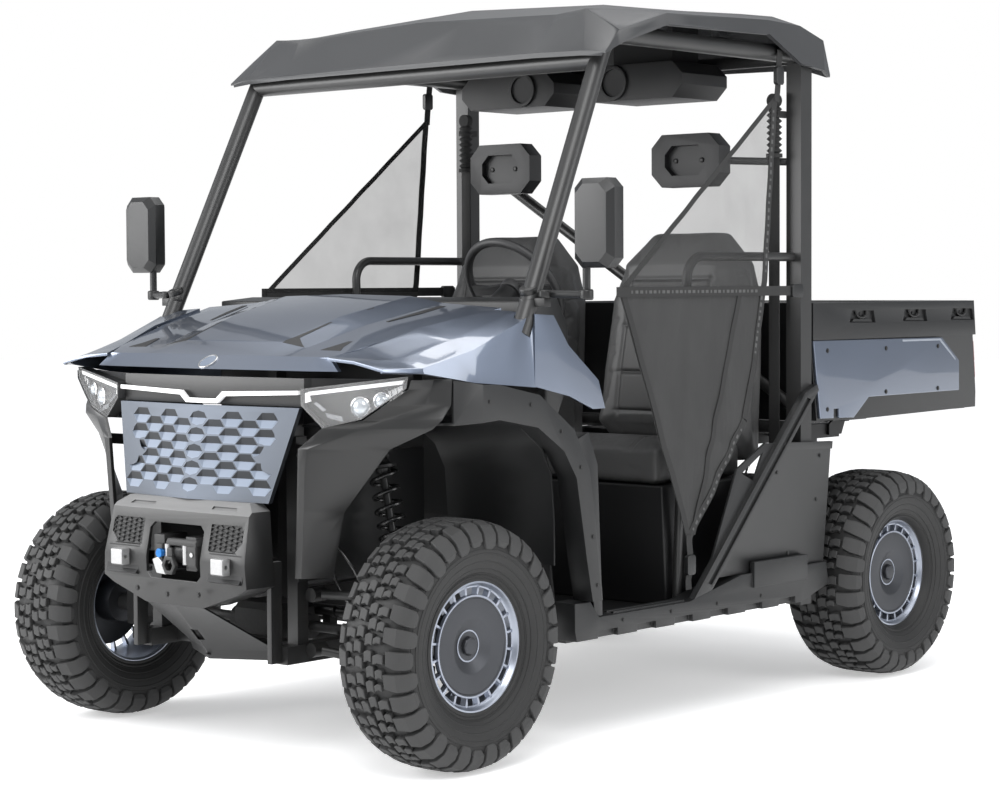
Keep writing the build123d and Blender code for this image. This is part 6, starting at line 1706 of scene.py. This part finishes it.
class UTV_OT_studio(bpy.types.Operator):
    """Sets the floor, the lights and the camera"""

    bl_idname = "utv.studio"
    bl_label = "Studio"

    def execute(self, context):
        sizes = context.scene.utv_sizes
        floor_mesh = bpy.data.meshes.new("floor")
        form = bmesh.new()
        bmesh.ops.create_grid(form, x_segments=1, y_segments=1, size=sizes.floor_size / 2)
        form.to_mesh(floor_mesh)
        form.free()
        floor = bpy.data.objects.new("floor", floor_mesh)
        context.scene.collection.objects.link(floor)
        pale = Finish("pale floor")
        mottle = pale.noise(1.5, 2.0)
        pale.set(Base_Color=pale.mix(mottle, grey(0.88), grey(0.90)), Roughness=0.7)
        pale.shader.inputs["Emission Color"].default_value = (1.0, 1.0, 1.0, 1.0)
        pale.shader.inputs["Emission Strength"].default_value = 0.44
        floor_mesh.materials.append(pale.material)
        world = bpy.data.worlds.new("studio")
        world.use_nodes = True
        background = world.node_tree.nodes["Background"]
        sky = NodeWork(world.node_tree)
        parts = sky.node("ShaderNodeSeparateXYZ", None, {0: sky.node("ShaderNodeTexCoord", output="Generated")})
        height = Signal(sky, parts.socket.node.outputs[2])
        light = sky.node("ShaderNodeValToRGB", {"stops": SKY_STOPS}, {0: height})
        seen = sky.node("ShaderNodeLightPath", output="Is Camera Ray")
        colour = sky.node("ShaderNodeMix", {"data_type": "RGBA"}, {0: seen, 6: light, 7: (1.0, 1.0, 1.0, 1.0)},
            output=2)
        sky.feed(background.inputs["Color"], colour)
        background.inputs["Strength"].default_value = sizes.sky
        context.scene.world = world
        context.scene.view_settings.view_transform = "Standard"
        for name, place, aim, size, power in STUDIO_LIGHTS:
            light = bpy.data.lights.new(name, "AREA")
            light.shape = "RECTANGLE"
            light.size, light.size_y = size
            light.energy = power
            holder = bpy.data.objects.new(name, light)
            holder.location = place
            holder.rotation_euler = (Vector(aim) - Vector(place)).to_track_quat("-Z", "Y").to_euler()
            context.scene.collection.objects.link(holder)
        camera = bpy.data.cameras.new("camera")
        camera.lens = sizes.lens
        camera.sensor_width = 36.0
        camera.clip_end = 200.0
        holder = bpy.data.objects.new("camera", camera)
        holder.location = CAMERA_PLACE
        holder.rotation_euler = [radians(angle) for angle in CAMERA_TURN]
        context.scene.collection.objects.link(holder)
        context.scene.camera = holder
        return {"FINISHED"}


CAMERA_PLACE = (5.0504, -5.8834, 1.3121)
CAMERA_TURN = (87.331, 0.3028, 41.432)
SKY_STOPS = [
    # the height of the direction, and the light from there
    (0.00, (0.42, 0.44, 0.47, 1.0)), (0.20, (0.42, 0.44, 0.47, 1.0)), (0.42, (0.30, 0.31, 0.33, 1.0)),
    (0.62, (0.62, 0.64, 0.67, 1.0)), (0.85, (1.0, 1.0, 1.0, 1.0)),
]
STUDIO_LIGHTS = [
    # name, place, aim, size, power
    ("key softbox", (3.5, -4.5, 5.5), (0, 0, 0.8), (3.5, 3.5), 260.0),
    ("front softbox", (-3.8, -5.0, 2.7), (0, -1.0, 1.1), (5.0, 3.2), 360.0),
    ("top softbox", (0.0, 0.5, 6.0), (0, 0, 0.8), (5.0, 4.0), 200.0),
    ("side softbox", (6.0, 1.5, 2.6), (0, 0.4, 0.8), (3.0, 2.6), 110.0),
]


def colour_choice(name, description, default):
    return bpy.props.FloatVectorProperty(
        name=name, description=description, default=default, size=4, min=0.0, max=1.0, subtype="COLOR")


class VehicleSizes(bpy.types.PropertyGroup):
    """The sizes and colours a user may change"""

    pitches: bpy.props.IntProperty(
        name="Tread pitches", description="How often the tread's pattern repeats round a tyre", default=PITCHES,
            min=8)
    pad_pressure: bpy.props.FloatProperty(
        name="Pad pressure", description="How hard the seat pads are blown up in the cloth simulation", default=4.0,
            min=0.0)
    floor_size: bpy.props.FloatProperty(
        name="Floor size", description="Side of the square floor", default=60.0, unit="LENGTH")
    sky: bpy.props.FloatProperty(
        name="Sky", description="Strength of the even light from all round", default=1.0)
    lens: bpy.props.FloatProperty(
        name="Lens", description="Focal length of the camera in millimetres", default=85.98)
    paint_colour: colour_choice("Paint", "Colour of the hood, fenders and bed sides", (0.130, 0.155, 0.205, 1.0))
    grille_colour: colour_choice("Grille", "Colour of the grille panel", (0.060, 0.071, 0.090, 1.0))
    plastic_colour: colour_choice("Plastic", "Colour of the moulded panels", (0.0085, 0.0088, 0.0092, 1.0))
    roof_colour: colour_choice("Roof", "Colour of the moulded roof", (0.034, 0.035, 0.037, 1.0))


class UTV_PT_panel(bpy.types.Panel):
    """Lists the vehicle's pieces"""

    bl_label = "Utility Vehicle"
    bl_idname = "UTV_PT_panel"
    bl_space_type = "VIEW_3D"
    bl_region_type = "UI"
    bl_category = "Utility Vehicle"

    def draw(self, context):
        for operator in OPERATORS:
            self.layout.operator(operator.bl_idname)
        for name in VehicleSizes.__annotations__:
            self.layout.prop(context.scene.utv_sizes, name)


OPERATORS = (
    UTV_OT_studio,
    UTV_OT_finishes,
    UTV_OT_tyres,
    UTV_OT_rims,
    UTV_OT_shocks,
    UTV_OT_nets,
    UTV_OT_panels,
    UTV_OT_lamps,
    UTV_OT_bumper,
    UTV_OT_seats,
    UTV_OT_cab,
    UTV_OT_bed,
    UTV_OT_fasteners,
)
CLASSES = (VehicleSizes, *OPERATORS, UTV_PT_panel)


def register():
    for item in CLASSES:
        bpy.utils.register_class(item)
    bpy.types.Scene.utv_sizes = bpy.props.PointerProperty(type=VehicleSizes)


def unregister():
    del bpy.types.Scene.utv_sizes
    for item in reversed(CLASSES):
        bpy.utils.unregister_class(item)


def main():
    register()
    for operator in OPERATORS:
        group, name = operator.bl_idname.split(".")
        getattr(getattr(bpy.ops, group), name)()


if __name__ == "__main__":
    main()
